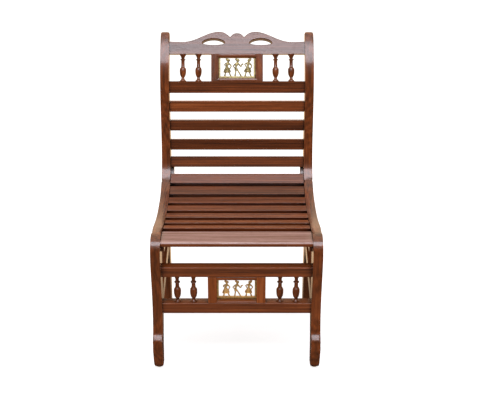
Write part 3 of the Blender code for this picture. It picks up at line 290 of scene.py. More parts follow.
@functools.cache
def teak(tone, cut):
    """Stained and polished teak in one tone, its grain along one axis of the chair."""
    material, tree, shader = new_finish(f"teak_polished_{tone}_{cut}")
    grain = CUTS[cut]
    shift = TONE_SHIFT * list(TONES).index(tone) + CUT_SHIFT * list(CUTS).index(cut)
    gloss = SATIN if grain == "x" else BUFFED
    place = add(tree, "ShaderNodeTexCoord").outputs["Object"]
    if grain == "lean":
        place = add(tree, "ShaderNodeVectorRotate", {"Vector": place, "Angle": POST_LEAN},
                    rotation_type="X_AXIS").outputs[0]
        grain = "z"
    stretch = tuple(STRETCH if axis == grain else 1.0 for axis in "xyz")
    board = add(tree, "ShaderNodeMapping",
                {"Vector": place, "Scale": stretch, "Rotation": TURNS[grain],
                 "Location": (shift, OFF_HEART[0] + shift, OFF_HEART[1])}).outputs[0]
    level, fibres = grain_level(tree, board)
    wood = add(tree, "ShaderNodeValToRGB", {"Fac": level},
               stops=list(zip(TONE_STOPS, TONES[tone]))).outputs["Color"]
    pores = add(tree, "ShaderNodeTexNoise", {"Vector": board, "Scale": 1 / PORE_WIDTH,
                                             "Detail": 1.0}).outputs["Fac"]
    pores = add(tree, "ShaderNodeMapRange",
                {"Value": pores, "From Min": PORE_FROM, "From Max": PORE_TO,
                 "To Max": PORE_SHARE}).outputs[0]
    wood = add(tree, "ShaderNodeMix", {"Factor": pores, "A": wood, "B": linear("#1C0903")},
               data_type="RGBA").outputs[2]
    # rubbed edges and painted sheen: where the rounded normal leaves the true one, the edge is
    # painted a lighter tan, partly stain worn thin and partly a painted highlight on the round
    rounded = add(tree, "ShaderNodeBevel", {"Radius": RUB_SHEEN_RADIUS}, samples=4).outputs[0]
    true_normal = add(tree, "ShaderNodeNewGeometry").outputs["Normal"]
    bend = add(tree, "ShaderNodeVectorMath", {0: rounded, 1: true_normal},
               operation="DOT_PRODUCT").outputs["Value"]
    rubbed_and_sheen = add(tree, "ShaderNodeMapRange", {"Value": bend, "From Min": RUB_SHEEN_FROM,
                                              "From Max": RUB_SHEEN_TO,
                                              "To Max": RUB_SHEEN_SHARE}).outputs[0]
    wood = add(tree, "ShaderNodeMix", {"Factor": rubbed_and_sheen, "A": wood, "B": linear("#A8683A")},
               data_type="RGBA").outputs[2]
    # painted shade: corners and the gaps between slats, where the Ambient Occlusion node finds
    # little open air, are painted near black, as shade falls there
    open_air = add(tree, "ShaderNodeAmbientOcclusion", {"Distance": PAINTED_SHADE_REACH}, samples=6)
    painted_gap_shade = add(tree, "ShaderNodeMapRange",
                {"Value": open_air.outputs["AO"], "From Min": PAINTED_SHADE_FROM,
                 "From Max": PAINTED_SHADE_TO, "To Min": PAINTED_SHADE_SHARE, "To Max": 0.0}).outputs[0]
    wood = add(tree, "ShaderNodeMix", {"Factor": painted_gap_shade, "A": wood, "B": linear("#1B0A04")},
               data_type="RGBA").outputs[2]
    tree.links.new(wood, shader.inputs["Base Color"])
    rough = add(tree, "ShaderNodeMapRange", {"Value": level, "To Min": gloss[0],
                                            "To Max": gloss[1]})
    tree.links.new(rough.outputs[0], shader.inputs["Roughness"])
    relief = add(tree, "ShaderNodeMath", {0: pores, 1: PORE_DEPTH, 2: fibres},
                 operation="MULTIPLY_ADD").outputs[0]
    bump = add(tree, "ShaderNodeBump", {"Height": relief, "Strength": 0.18,
                                        "Distance": 0.0006})
    tree.links.new(bump.outputs[0], shader.inputs["Normal"])
    shader.inputs["IOR"].default_value = FILM_IOR
    shader.inputs["Specular IOR Level"].default_value = LESS_POLISH.get(tone, POLISH)
    return material


print("teak tones:", len(TONES), "cuts:", len(CUTS))

# %% [markdown]
# ## Cast brass
# The two pictures are lost-wax castings in brass: bright where hands and cloth have rubbed
# the raised parts, brown in the hollows where old polish stays, and slightly rough all over
# from the clay mould. The lower one is a deeper gold and the upper one paler: painted light,
# for the upper panel leans back and mirrors the soft lamp while the lower one stands upright
# and mirrors the dim room in front. Stains are drawn about 7 mm wide and the clay's grit
# about 1 mm, coarse enough to show.

# %% Brass recipe
STAIN_SCALE, STAIN_FROM, STAIN_TO, STAIN_SHARE = 150.0, 0.36, 0.64, 0.65
HOLLOW_REACH, DULL_DEPTH, BRIGHT_DEPTH = 0.0035, 0.50, 1.60
GRIT_SCALE = 1100.0


def cast_brass(name, bright, dull, shine):
    """Cast brass; the shine is the share that mirrors, the rest is a matt oxide film."""
    material, tree, shader = new_finish(name)
    place = add(tree, "ShaderNodeTexCoord").outputs["Object"]
    hollow = add(tree, "ShaderNodeAmbientOcclusion", {"Distance": HOLLOW_REACH}, samples=6)
    stain = add(tree, "ShaderNodeTexNoise", {"Vector": place, "Scale": STAIN_SCALE, "Detail": 5.0,
                                             "Roughness": 0.65}).outputs["Fac"]
    stain = add(tree, "ShaderNodeMapRange", {"Value": stain, "From Min": STAIN_FROM,
                                             "From Max": STAIN_TO}).outputs[0]
    depth = add(tree, "ShaderNodeMath", {0: stain, 1: STAIN_SHARE, 2: hollow.outputs["AO"]},
                operation="MULTIPLY_ADD").outputs[0]
    depth = add(tree, "ShaderNodeMapRange", {"Value": depth, "From Min": DULL_DEPTH,
                                             "From Max": BRIGHT_DEPTH}).outputs[0]
    colour = add(tree, "ShaderNodeValToRGB", {"Fac": depth},
                 stops=((0.0, "#24140A"), (0.45, dull), (1.0, bright))).outputs["Color"]
    tree.links.new(colour, shader.inputs["Base Color"])
    rough = add(tree, "ShaderNodeMapRange", {"Value": depth, "To Min": 0.50, "To Max": 0.24})
    tree.links.new(rough.outputs[0], shader.inputs["Roughness"])
    grit = add(tree, "ShaderNodeTexNoise", {"Vector": place, "Scale": GRIT_SCALE, "Detail": 3.0})
    bump = add(tree, "ShaderNodeBump", {"Height": grit.outputs["Fac"], "Strength": 0.35,
                                        "Distance": 0.0004})
    tree.links.new(bump.outputs[0], shader.inputs["Normal"])
    shader.inputs["Metallic"].default_value = shine
    return material


# painted light: the upper casting's paler brass and the lower one's deeper gold stand for what
# each mirrors
BRASS = {
    "back": cast_brass("brass_cast_pale", "#B6A771", "#7A6A40", 0.35),
    "front": cast_brass("brass_cast_golden", "#FFD490", "#DCA85C", 0.65),
}

# %% [markdown]
# ## Nylon and steel
# The pads under the feet are moulded nylon, tan, matt and scuffed by the floor. The screws
# are bright steel, turned on a lathe and a little tarnished. Scuffs are about 2 mm long on
# the nylon, and the tarnish has spots of about 1.5 mm.

# %% Nylon and steel recipes
def mottled(name, scale, dark, light, rough, bump_strength):
    """A finish whose colour, gloss and relief all follow one fine mottle."""
    material, tree, shader = new_finish(name)
    place = add(tree, "ShaderNodeTexCoord").outputs["Object"]
    mottle = add(tree, "ShaderNodeTexNoise", {"Vector": place, "Scale": scale, "Detail": 4.0,
                                              "Roughness": 0.7}).outputs["Fac"]
    colour = add(tree, "ShaderNodeValToRGB", {"Fac": mottle},
                 stops=((0.32, dark), (0.62, light))).outputs["Color"]
    tree.links.new(colour, shader.inputs["Base Color"])
    gloss = add(tree, "ShaderNodeMapRange", {"Value": mottle, "To Min": rough[0],
                                             "To Max": rough[1]})
    tree.links.new(gloss.outputs[0], shader.inputs["Roughness"])
    bump = add(tree, "ShaderNodeBump", {"Height": mottle, "Strength": bump_strength,
                                        "Distance": 0.0003})
    tree.links.new(bump.outputs[0], shader.inputs["Normal"])
    return material, shader


NYLON, shader = mottled("nylon_moulded_tan", 420.0, "#96724C", "#BE9A72", (0.62, 0.45), 0.2)
shader.inputs["IOR"].default_value = 1.53
STEEL, shader = mottled("steel_screw_turned", 700.0, "#6E6A62", "#C2BEB5", (0.55, 0.25), 0.15)
shader.inputs["Metallic"].default_value = 1.0

# %% [markdown]
# ## Pieces of our own
# Some solids are drawn with few faces, which a polished surface would betray. A piece that
# takes a node's place is made here, rides on the chair's one body, and hides the nodes it
# stands for.

# %% Helpers for new pieces
FLAT_FACE_WEIGHT = 100


def smooth(mesh, limit):
    """Shade a mesh smooth, but keep edges sharper than the limit crisp."""
    mesh.shade_smooth()
    mesh.set_sharp_from_angle(angle=math.radians(limit))


def new_object(name, mesh):
    obj = bpy.data.objects.new(name, mesh)
    bpy.context.scene.collection.objects.link(obj)
    return obj


def built(name, bm):
    """Turn a finished bmesh into an object."""
    mesh = bpy.data.meshes.new(name)
    bm.to_mesh(mesh)
    bm.free()
    return new_object(name, mesh)


def fit(obj, slot, *replaced):
    """Make a finished piece part of the chair, in the place of some nodes."""
    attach(obj, "root")
    if replaced:
        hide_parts(*replaced)
    return obj


def baked(obj):
    """Turn an object with modifiers into one with a plain mesh."""
    bpy.context.view_layer.update()
    evaluated = obj.evaluated_get(bpy.context.evaluated_depsgraph_get())
    mesh = bpy.data.meshes.new_from_object(evaluated)
    obj.modifiers.clear()
    obj.data = mesh


def weigh_normals(obj):
    """Keep flat faces flat: let big faces outweigh the narrow rounds beside them."""
    weighted = obj.modifiers.new("flat faces stay flat", "WEIGHTED_NORMAL")
    weighted.weight, weighted.keep_sharp = FLAT_FACE_WEIGHT, True
    baked(obj)


def outward(mesh):
    """Merge doubles and turn every closed shell's faces outward."""
    bm = bmesh.new()
    bm.from_mesh(mesh)
    bmesh.ops.remove_doubles(bm, verts=bm.verts, dist=1e-6)
    bmesh.ops.recalc_face_normals(bm, faces=bm.faces)
    bm.to_mesh(mesh)
    bm.free()


# %% [markdown]
# ## The joinery
# Legs, posts and rails keep the shape of their nodes, apart from a crisper ledge above each
# toe. Each gets a welded copy, because the node's loose triangles would shade as flat
# facets. On the copy, a Bevel modifier adds the half-millimetre round that sanding leaves on
# sawn edges, and weighted normals keep the flat faces flat beside those rounds. The tone of
# each board is listed in a table.

# %% Welded, eased and finished copies of the wooden nodes
SANDED_EDGE, SAWN_ANGLE = 0.0005, math.radians(50)
CUT_OF = {"front_leg": "frame_z", "rear_leg": "frame_z", "front_stile": "z",
          "back_post": "frame_lean", "back_stile": "lean", "seat_rail": "frame_y",
          "side_stretcher": "frame_y", "seat_cleat": "frame_y"}
TONE_OF = {"back_slat_1": "fair", "back_slat_2": "dark", "back_slat_3": "dark",
           "seat_slat_1": "warm", "seat_slat_2": "warm", "seat_slat_3": "fair",
           "seat_slat_4": "fair", "seat_slat_5": "fair", "seat_rear_slat": "dull",
           "front_upper_rail": "fair", "front_panel_head": "fair", "front_stile_left": "fair",
           "front_stile_right": "fair", "seat_front_slat": "painted_sheen"}
SPLAYED = {"back_stile_left", "back_stile_right", "back_panel_head", "back_panel_sill",
           "front_panel_sill"}
TOE_BACK, TOE_FADE = -0.312, 0.012
TOE_LEDGE, TOE_REACH = (0.1138, 0.1309), (0.007, 0.009)
TOE_SHIFT, TOE_LIFT = (-0.0015, 0.0035), 0.0026
# faces of the front slat turned up at least this far keep the painted sheen
SHEEN_PAINTED_UP = 0.55
APART = ("back_baluster", "front_baluster", "crest_rail", "brass", "glide", "screw",
         "seat_slat", "rear_slat", "back_slat")


def teak_for(name):
    cuts = [cut for word, cut in CUT_OF.items() if name.startswith(word)]
    return teak(TONE_OF.get(name, "even"), cuts[0] if cuts else "x")


def welded(name):
    """A copy of a node's mesh with its triangles joined and its flat faces made whole."""
    bm = bmesh.new()
    bm.from_mesh(nodes[name].data)
    bmesh.ops.remove_doubles(bm, verts=bm.verts, dist=2e-5)
    bmesh.ops.dissolve_limit(bm, angle_limit=math.radians(0.4), verts=bm.verts, edges=bm.edges)
    return built(f"{name}_polished", bm)


def sand(obj, width=SANDED_EDGE, steps=2, limit=48.0):
    """Round the sawn edges, and shade smooth what bends by less than the limit."""
    bevel = obj.modifiers.new("sanded edges", "BEVEL")
    bevel.width, bevel.segments = width, steps
    bevel.limit_method, bevel.angle_limit = "ANGLE", SAWN_ANGLE
    baked(obj)
    smooth(obj.data, limit)
    weigh_normals(obj)


def paint_light_by_facing(obj, chosen, finish):
    """Give the faces whose normals are chosen a second finish: this paints light and shade by the
    way each face turns.
    """
    obj.data.materials.append(finish)
    for face in obj.data.polygons:
        face.material_index = int(chosen(face.normal))


def crisp_toe(mesh):
    """Sand the ledge above each toe to 45 degrees, so that it mirrors the soft lamp."""
    for vertex in mesh.vertices:
        spot = vertex.co
        share = min(1.0, max(0.0, (TOE_BACK - spot.y) / TOE_FADE))
        lower, upper = [math.exp(-((spot.z - height) / reach) ** 2) * share
                        for height, reach in zip(TOE_LEDGE, TOE_REACH)]
        spot.y += TOE_SHIFT[1] * upper + TOE_SHIFT[0] * lower
        spot.z += TOE_LIFT * upper


# %% [markdown]
# The brass pictures sit behind canted edges: the stiles, head and sill of the upper panel
# and the sill of the lower one slope towards the casting, and those slopes carry thin bright
# lines. One wedge that widens to the front is cut out of all four pieces, so that the slopes
# meet in neat mitres at the corners.

# %% Canted edges round the brass
PANEL_LEAN = math.radians(-23.84)
PANELS = {
    "back": {"foot": (0.0, 0.25925, 0.84443), "lean": PANEL_LEAN, "height": 0.10054,
             "window": (0.133, 0.0125, 0.0875), "dancers": 1.0, "front": -0.011,
             "cant": (0.0075, 0.0062, 0.0062)},
    "front": {"foot": (0.0, -0.29002, 0.234), "lean": 0.0, "height": 0.096,
              "window": (0.131, 0.0095, 0.0845), "dancers": 0.89, "front": -0.019,
              "cant": (0.0, 0.0055, 0.0)},
}
BORDER = {"back": ((0.0075, 0.0), (0.0030, 0.35), (0.0022, 1.0), (-0.0040, 1.08)),
          "front": ((0.0075, 0.0), (-0.0038, 1.5))}


def panel_place(word):
    """Matrix from a panel's own axes to the chair: X across, Y into the wood, Z up the panel."""
    panel = PANELS[word]
    return Matrix.Translation(panel["foot"]) @ Matrix.Rotation(panel["lean"], 4, "X")


def canting_wedge(word):
    """A block that fills the window behind, and widens to the front as the border does."""
    panel = PANELS[word]
    width, low, high = panel["window"]
    side, below, above = panel["cant"]
    bm = bmesh.new()
    rings = []
    for depth, share in BORDER[word]:
        y = panel["front"] + depth
        x = width / 2 + side * share
        z0, z1 = low - below * share, high + above * share
        rings.append([bm.verts.new(p) for p in ((-x, y, z0), (x, y, z0), (x, y, z1), (-x, y, z1))])
    bm.faces.new(rings[0])
    bm.faces.new(rings[-1][::-1])
    for back, front in zip(rings, rings[1:]):
        for i in range(4):
            j = (i + 1) % 4
            bm.faces.new((back[i], front[i], front[j], back[j]))
    bmesh.ops.recalc_face_normals(bm, faces=bm.faces)
    bm.transform(panel_place(word))
    return built("canting_wedge", bm)


def carve(obj, tool):
    cut = obj.modifiers.new("cut", "BOOLEAN")
    cut.operation, cut.solver, cut.object = "DIFFERENCE", "EXACT", tool
    baked(obj)


wedges = {word: canting_wedge(word) for word in PANELS}
finished = []
for name in sorted(nodes):
    if any(word in name for word in APART):
        continue
    board = welded(name)
    if name.startswith("front_leg"):
        crisp_toe(board.data)
    if name in SPLAYED:
        carve(board, wedges[name.split("_")[0]])
    sand(board)
    board.data.materials.clear()
    board.data.materials.append(teak_for(name))
    if name == "seat_front_slat":
        # painted sheen: the top of the front slat keeps a pale lilac-grey tone, the lamp's sheen
        # painted on; its other faces get the even tone
        paint_light_by_facing(board, lambda normal: normal.z < SHEEN_PAINTED_UP, teak("even", "x"))
    finished.append(fit(board, "teak", name))
for wedge in wedges.values():
    bpy.data.objects.remove(wedge)
print("boards finished:", len(finished), "faces:", sum(len(o.data.polygons) for o in finished))

# %% [markdown]
# ## Slats
# The slats are plain boards, 40 mm wide, with edges rounded by no more than 1.5 mm. On such
# an edge the soft lamp shows as one thin bright line, and right below it the gap is dark.
# The back slats run into the posts with tenons; the seat slats only rest on the cleats.
# The front faces of the seat slats get a darker tone than their tops: painted shade.

# %% Slats
SLAT_WIDTH, SLAT_EDGE = 0.040, 0.0015
SEAT_THICKNESS, BACK_THICKNESS = 0.020, 0.015
# faces of a seat slat turned this far to the front get the painted shade
SHADE_PAINTED_FRONT = -0.80
TENON = (0.012, 0.008, 0.028)
SLATS = {"seat_slat_1": (-0.17892, 0.44520, -98.895), "seat_slat_2": (-0.11771, 0.43855, -97.691),
         "seat_slat_3": (-0.05514, 0.43596, -90.843), "seat_slat_4": (0.00705, 0.43876, -85.125),
         "seat_slat_5": (0.06895, 0.44554, -79.485), "seat_slat_6": (0.13121, 0.46165, -64.095),
         "seat_rear_slat": (0.17934, 0.49294, -44.994), "back_slat_1": (0.2426, 0.757, -3.6),
         "back_slat_2": (0.2389, 0.686, -2.47), "back_slat_3": (0.2329, 0.6134, -7.36),
         "back_slat_4": (0.2173, 0.5504, -20.8)}


def slat(name, y, z, tilt):
    in_back = name.startswith("back")
    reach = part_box(name)[1].x
    half = reach - TENON[0] if in_back else reach
    bm = bmesh.new()
    size = (2 * half, BACK_THICKNESS if in_back else SEAT_THICKNESS, SLAT_WIDTH, 1.0)
    bmesh.ops.create_cube(bm, size=1.0, matrix=Matrix.Diagonal(size))
    if in_back:
        for side in (-1, 1):
            middle = Matrix.Translation((side * (half + TENON[0] / 2), 0, 0))
            bmesh.ops.create_cube(bm, size=1.0, matrix=middle @ Matrix.Diagonal((*TENON, 1.0)))
    bm.transform(Matrix.Translation((0, y, z)) @ Matrix.Rotation(math.radians(tilt), 4, "X"))
    board = built(f"{name}_polished", bm)
    sand(board, SLAT_EDGE, 3)
    board.data.materials.append(teak_for(name))
    if not in_back:
        # painted shade: the front faces of the seat slats get the darkest tone
        paint_light_by_facing(board, lambda normal: normal.y < SHADE_PAINTED_FRONT, teak("shaded_front", "x"))
    fit(board, "teak", name)


for name, place in SLATS.items():
    slat(name, *place)
print("slats:", len(SLATS))

# %% [markdown]
# ## The crest rail
# A plank sawn to a scalloped line, with two leaf-shaped holes. It is drawn as a flat curve
# whose bevel rounds every edge at once, the holes' edges too, which is how a router follows
# them on the real rail. Its foot is then cut flat, square to the panel below.

# %% Crest rail
CREST_PLACE = (0.0, 0.29989, 0.9364)
CREST_LEAN = math.radians(-35.23)
CREST_THICKNESS = 0.022
CREST_ROUND, CREST_EASE = 0.0026, 0.0007
CREST_END, CREST_SPARE, CREST_FOOT = 0.2477, 0.254, -0.011
CREST_LINE = ((0.0, 0.0795), (0.0115, 0.0775), (0.0204, 0.0705), (0.0255, 0.0645),
              (0.0380, 0.0758), (0.0512, 0.0830), (0.0670, 0.0850), (0.0905, 0.0816),
              (0.1195, 0.0706), (0.1521, 0.0557), (0.1846, 0.0462), (0.2154, 0.0451),
              (CREST_SPARE, 0.0472))
NOTCH = 3
LEAF_MIDDLE, LEAF_HALF, LEAF_TIP = 0.0865, 0.041, 0.0415
LEAF_RISE, LEAF_FALL = 0.0165, 0.008
LEAF_STEPS = 14


def outline_spline(curve, points, corners=()):
    """Add a closed smooth spline to a flat curve, with corners at the numbered points."""
    spline = curve.splines.new("BEZIER")
    spline.bezier_points.add(len(points) - 1)
    spline.use_cyclic_u = True
    for i, (point, (x, z)) in enumerate(zip(spline.bezier_points, points)):
        point.co = (x, z, 0.0)
        kind = "VECTOR" if i in corners else "AUTO"
        point.handle_left_type = point.handle_right_type = kind


def leaf_outline(side):
    """Two arcs that meet in points: the upper one high, the lower one shallow."""
    steps = [math.pi * i / LEAF_STEPS for i in range(LEAF_STEPS)]
    upper = [(LEAF_HALF * math.cos(a), LEAF_RISE * math.sin(a) ** 1.3) for a in steps]
    lower = [(-LEAF_HALF * math.cos(a), -LEAF_FALL * math.sin(a) ** 0.9) for a in steps]
    return [(side * (LEAF_MIDDLE + x), LEAF_TIP + z) for x, z in upper + lower]


curve = bpy.data.curves.new("crest_rail", "CURVE")
curve.dimensions, curve.fill_mode = "2D", "BOTH"
curve.resolution_u = 8
curve.extrude = CREST_THICKNESS / 2 - CREST_ROUND
curve.bevel_depth, curve.bevel_resolution, curve.offset = CREST_ROUND, 3, -CREST_ROUND
left = [(-x, z) for x, z in reversed(CREST_LINE[1:])]
points = left + list(CREST_LINE) + [(CREST_SPARE, CREST_FOOT), (-CREST_SPARE, CREST_FOOT)]
last = len(CREST_LINE) - 1
corners = {0, last - NOTCH, last + NOTCH, 2 * last, 2 * last + 1, 2 * last + 2}
outline_spline(curve, points, corners)
for side in (-1, 1):
    outline_spline(curve, leaf_outline(side), {0, LEAF_STEPS})
drawn = new_object("crest_drawing", curve)
shape = drawn.evaluated_get(bpy.context.evaluated_depsgraph_get())
crest = new_object("crest_rail_polished", bpy.data.meshes.new_from_object(shape))
bpy.data.objects.remove(drawn)

stand_up = Matrix.Translation(CREST_PLACE) @ Matrix.Rotation(CREST_LEAN, 4, "X")
stand_up = stand_up @ Matrix.Rotation(math.pi / 2, 4, "X")
bm = bmesh.new()
bm.from_mesh(crest.data)
bmesh.ops.remove_doubles(bm, verts=bm.verts, dist=1e-5)
bm.transform(stand_up)
square = panel_place("back").to_3x3() @ Vector((0.0, 0.0, -1.0))
for place, normal in (((CREST_END, 0, 0), (1, 0, 0)), ((-CREST_END, 0, 0), (-1, 0, 0)),
                      (CREST_PLACE, square)):
    geometry = bm.verts[:] + bm.edges[:] + bm.faces[:]
    bmesh.ops.bisect_plane(bm, geom=geometry, plane_co=place, plane_no=normal,
                           clear_outer=True, dist=1e-6)
    bmesh.ops.holes_fill(bm, edges=[e for e in bm.edges if e.is_boundary], sides=0)
bmesh.ops.recalc_face_normals(bm, faces=bm.faces)
print("crest rail open edges:", sum(not e.is_manifold for e in bm.edges))
bm.to_mesh(crest.data)
bm.free()
sand(crest, CREST_EASE, limit=40)
crest.data.materials.clear()
crest.data.materials.append(teak("dark", "x"))
fit(crest, "teak", "crest_rail")

# %% [markdown]
# ## Turned parts with Geometry Nodes
# Balusters, screws and glides are all turned: a spine with a radius at every station. One
# Geometry Nodes tree makes them. Its mesh holds the spine, with the radius as an attribute,
# and loose points that say where a copy goes and how it is turned. Curve to Mesh sweeps a
# circle along the spine, scaled by the radius; a slot can be cut in the top for a
# screwdriver; Instance on Points sets out the copies.

# %% A tree for turned parts
def new_tree(name, *sizes):
    """A Geometry Nodes tree with named inputs; returns it and its inputs' sockets."""
    tree = bpy.data.node_groups.new(name, "GeometryNodeTree")
    tree.interface.new_socket("Geometry", in_out="INPUT", socket_type="NodeSocketGeometry")
    for label, kind in sizes:
        tree.interface.new_socket(label, in_out="INPUT", socket_type=f"NodeSocket{kind}")
    tree.interface.new_socket("Geometry", in_out="OUTPUT", socket_type="NodeSocketGeometry")
    return tree, tree.nodes.new("NodeGroupInput").outputs


def finish_tree(tree, geometry, given):
    """End a tree in real geometry with its material."""
    real = add(tree, "GeometryNodeRealizeInstances", {"Geometry": geometry}).outputs[0]
    coated = add(tree, "GeometryNodeSetMaterial", {"Geometry": real,
                                                   "Material": given["Material"]})
    add(tree, "NodeGroupOutput", {"Geometry": coated.outputs[0]})


def grown(obj, tree, **sizes):
    """Run a tree on an object with its inputs set, and keep the result as a plain mesh."""
    modifier = obj.modifiers.new(tree.name, "NODES")
    modifier.node_group = tree
    for item in tree.interface.items_tree:
        if item.in_out == "INPUT" and item.name.replace(" ", "_") in sizes:
            modifier[item.identifier] = sizes[item.name.replace(" ", "_")]
    baked(obj)
    outward(obj.data)
    smooth(obj.data, 34)
    return obj


def read(tree, name, kind):
    return add(tree, "GeometryNodeInputNamedAttribute", {"Name": name}, data_type=kind).outputs[0]


lathe, given = new_tree("turned_parts", ("Sides", "Int"), ("Slot Width", "Float"),
                        ("Slot Depth", "Float"), ("Material", "Material"))
split = add(lathe, "GeometryNodeSeparateGeometry",
            {"Geometry": given["Geometry"], "Selection": read(lathe, "place", "BOOLEAN")})
spine = add(lathe, "GeometryNodeMeshToCurve", {"Mesh": split.outputs["Inverted"]}).outputs[0]
ring = add(lathe, "GeometryNodeCurvePrimitiveCircle", {"Resolution": given["Sides"],
                                                       "Radius": 1.0}).outputs["Curve"]
turned = add(lathe, "GeometryNodeCurveToMesh",
             {"Curve": spine, "Profile Curve": ring, "Scale": read(lathe, "radius", "FLOAT"),
              "Fill Caps": True}).outputs[0]
slot_size = add(lathe, "ShaderNodeCombineXYZ", {"X": 0.02, "Y": given["Slot Width"],
                                                "Z": given["Slot Depth"]}).outputs[0]
slot = add(lathe, "GeometryNodeMeshCube", {"Size": slot_size}).outputs["Mesh"]
slotted = add(lathe, "GeometryNodeMeshBoolean", {0: turned}, operation="DIFFERENCE",
              solver="EXACT")
lathe.links.new(slot, slotted.inputs["Mesh 2"])
wanted = add(lathe, "FunctionNodeCompare", {0: given["Slot Width"], 1: 0.0},
             data_type="FLOAT", operation="GREATER_THAN").outputs[0]
part = add(lathe, "GeometryNodeSwitch", {"Switch": wanted, "False": turned,
                                         "True": slotted.outputs[0]},
           input_type="GEOMETRY").outputs[0]
turn = add(lathe, "FunctionNodeEulerToRotation",
           {"Euler": read(lathe, "turn", "FLOAT_VECTOR")}).outputs[0]
copies = add(lathe, "GeometryNodeInstanceOnPoints", {"Points": split.outputs["Selection"],
                                                     "Instance": part, "Rotation": turn})
finish_tree(lathe, copies.outputs[0], given)


def turned_parts(name, profile, places, material, sides, slot=(0.0, 0.0)):
    """Copies of one turned part: profile of (height, radius), places of (point, euler)."""
    mesh = bpy.data.meshes.new(name)
    spine = [(0.0, 0.0, height) for height, _ in profile]
    mesh.from_pydata(spine + [point for point, _ in places],
                     [(i, i + 1) for i in range(len(spine) - 1)], [])
    count = len(places)
    radius = mesh.attributes.new("radius", "FLOAT", "POINT")
    radius.data.foreach_set("value", [r for _, r in profile] + [0.0] * count)
    place = mesh.attributes.new("place", "BOOLEAN", "POINT")
    place.data.foreach_set("value", [False] * len(spine) + [True] * count)
    turn = mesh.attributes.new("turn", "FLOAT_VECTOR", "POINT")
    turns = [(0.0, 0.0, 0.0)] * len(spine) + [tuple(euler) for _, euler in places]
    turn.data.foreach_set("vector", [c for euler in turns for c in euler])
    obj = grown(new_object(name, mesh), lathe, Sides=sides, Slot_Width=slot[0],
                Slot_Depth=slot[1], Material=material)
    print(name, "copies:", count, "faces:", len(obj.data.polygons))
    return obj


# %% [markdown]
# ## Balusters
# Each baluster is one slim piece of teak turned between centres. From its foot up: a disc, a
# tight waist, a vase that swells to its shoulder, a thin neck with a ring, and a flare under
# the rail. Crisp corners between the parts catch the light as small bright spots, so the
# profile steps there instead of running smoothly.

# %% Baluster profiles
BALUSTER_RADIUS = 0.0118
PIN_RADIUS, PIN_LENGTH = 0.0045, 0.008
BALUSTER_SIDES = 40
WAIST_RADIUS, SHOULDER = 0.44, 0.506
FOOT = ((0.00, 0.94), (0.03, 1.00), (0.20, 1.00), (0.28, 0.95), (0.40, 0.80), (0.56, 0.63),
        (0.78, 0.50), (1.00, WAIST_RADIUS))
VASE = ((0.05, 0.47), (0.11, 0.58), (0.19, 0.73), (0.29, 0.86), (0.41, 0.95), (0.54, 1.00),
        (0.68, 1.02), (0.80, 1.01), (0.88, 0.98), (0.93, 0.93), (0.965, 0.86), (1.00, 0.74))
THROAT = ((0.512, 0.70), (0.528, 0.67), (0.535, 0.60), (0.555, 0.57), (0.600, 0.55),
          (0.650, 0.54))
NECK_RING = ((-0.030, 0.54), (-0.022, 0.56), (-0.020, 0.62), (-0.016, 0.74), (-0.009, 0.82),
             (0.000, 0.85), (0.009, 0.82), (0.016, 0.74), (0.020, 0.62), (0.022, 0.54),
             (0.030, 0.50))
FLARE = ((0.860, 0.52), (0.895, 0.60), (0.925, 0.71), (0.950, 0.84), (0.968, 0.94),
         (0.975, 1.00), (1.000, 1.00))
SETS = {"back": {"waist": 0.135, "ring": 0.805, "insets": (0.050, 0.107)},
        "front": {"waist": 0.078, "ring": 0.735, "insets": (0.0505, 0.1045)}}
GAP = 0.0003
INNER = 0.248


def baluster_profile(length, waist, ring):
    shape = [(waist * share, r) for share, r in FOOT]
    shape += [(waist + (SHOULDER - waist) * share, r) for share, r in VASE]
    shape += [*THROAT, *[(ring + h, r) for h, r in NECK_RING], *FLARE]
    body = [(h * length, r * BALUSTER_RADIUS) for h, r in shape]
    return ([(-PIN_LENGTH, PIN_RADIUS), (0.0, PIN_RADIUS)] + body
            + [(length, PIN_RADIUS), (length + PIN_LENGTH, PIN_RADIUS)])


for word, sizes in SETS.items():
    panel = PANELS[word]
    offsets = sorted(side * (INNER - inset) for side in (-1, 1) for inset in sizes["insets"])
    places = [(tuple(panel_place(word) @ Vector((x, 0.0, GAP))), (panel["lean"], 0.0, 0.0))
              for x in offsets]
    turned = turned_parts(f"{word}_balusters_turned",
                          baluster_profile(panel["height"] - 2 * GAP, sizes["waist"],
                                           sizes["ring"]),
                          places, teak("even", "z"), BALUSTER_SIDES)
    fit(turned, "teak", *[f"{word}_baluster_{i}" for i in range(1, 5)])

# %% [markdown]
# ## Screws and glides
# Under the seat, a slotted screw goes up through the cleats into each slat, and three more
# on each side hold the cleats to the frame. Their heads are slightly domed. The nylon
# glides are turned too: a flat sole, a small chamfer and a straight wall.

# %% Screws
SCREW_DOME = 0.0007
SCREW_SLOT = (0.0009, 0.0024)
HEAD, SHANK, SCREW_SIDES = 0.004, 0.002, 20
SEAT_STACK, FRONT_SUNK = 0.0303, 0.0015
FRONT_SLAT = (-0.26902, 0.45001, -90.0)
SLAT_SCREW_X, SLAT_SCREW_LENGTH, SLOT_TURN = 0.2417, 0.034, 0.6
CLEAT_SCREWS = ((-0.15158, 0.42186), (0.04013, 0.42146), (0.22113, 0.51326))
CLEAT_FACE, CLEAT_SCREW_LENGTH = 0.2357, 0.022


def screw_profile(length):
    return [(SCREW_DOME, 0.0012), (SCREW_DOME * 0.85, 0.0024), (SCREW_DOME * 0.45, 0.0034),
            (0.0, HEAD), (-0.0003, HEAD), (-0.003, SHANK), (0.002 - length, SHANK),
            (-length, 0.0006)]


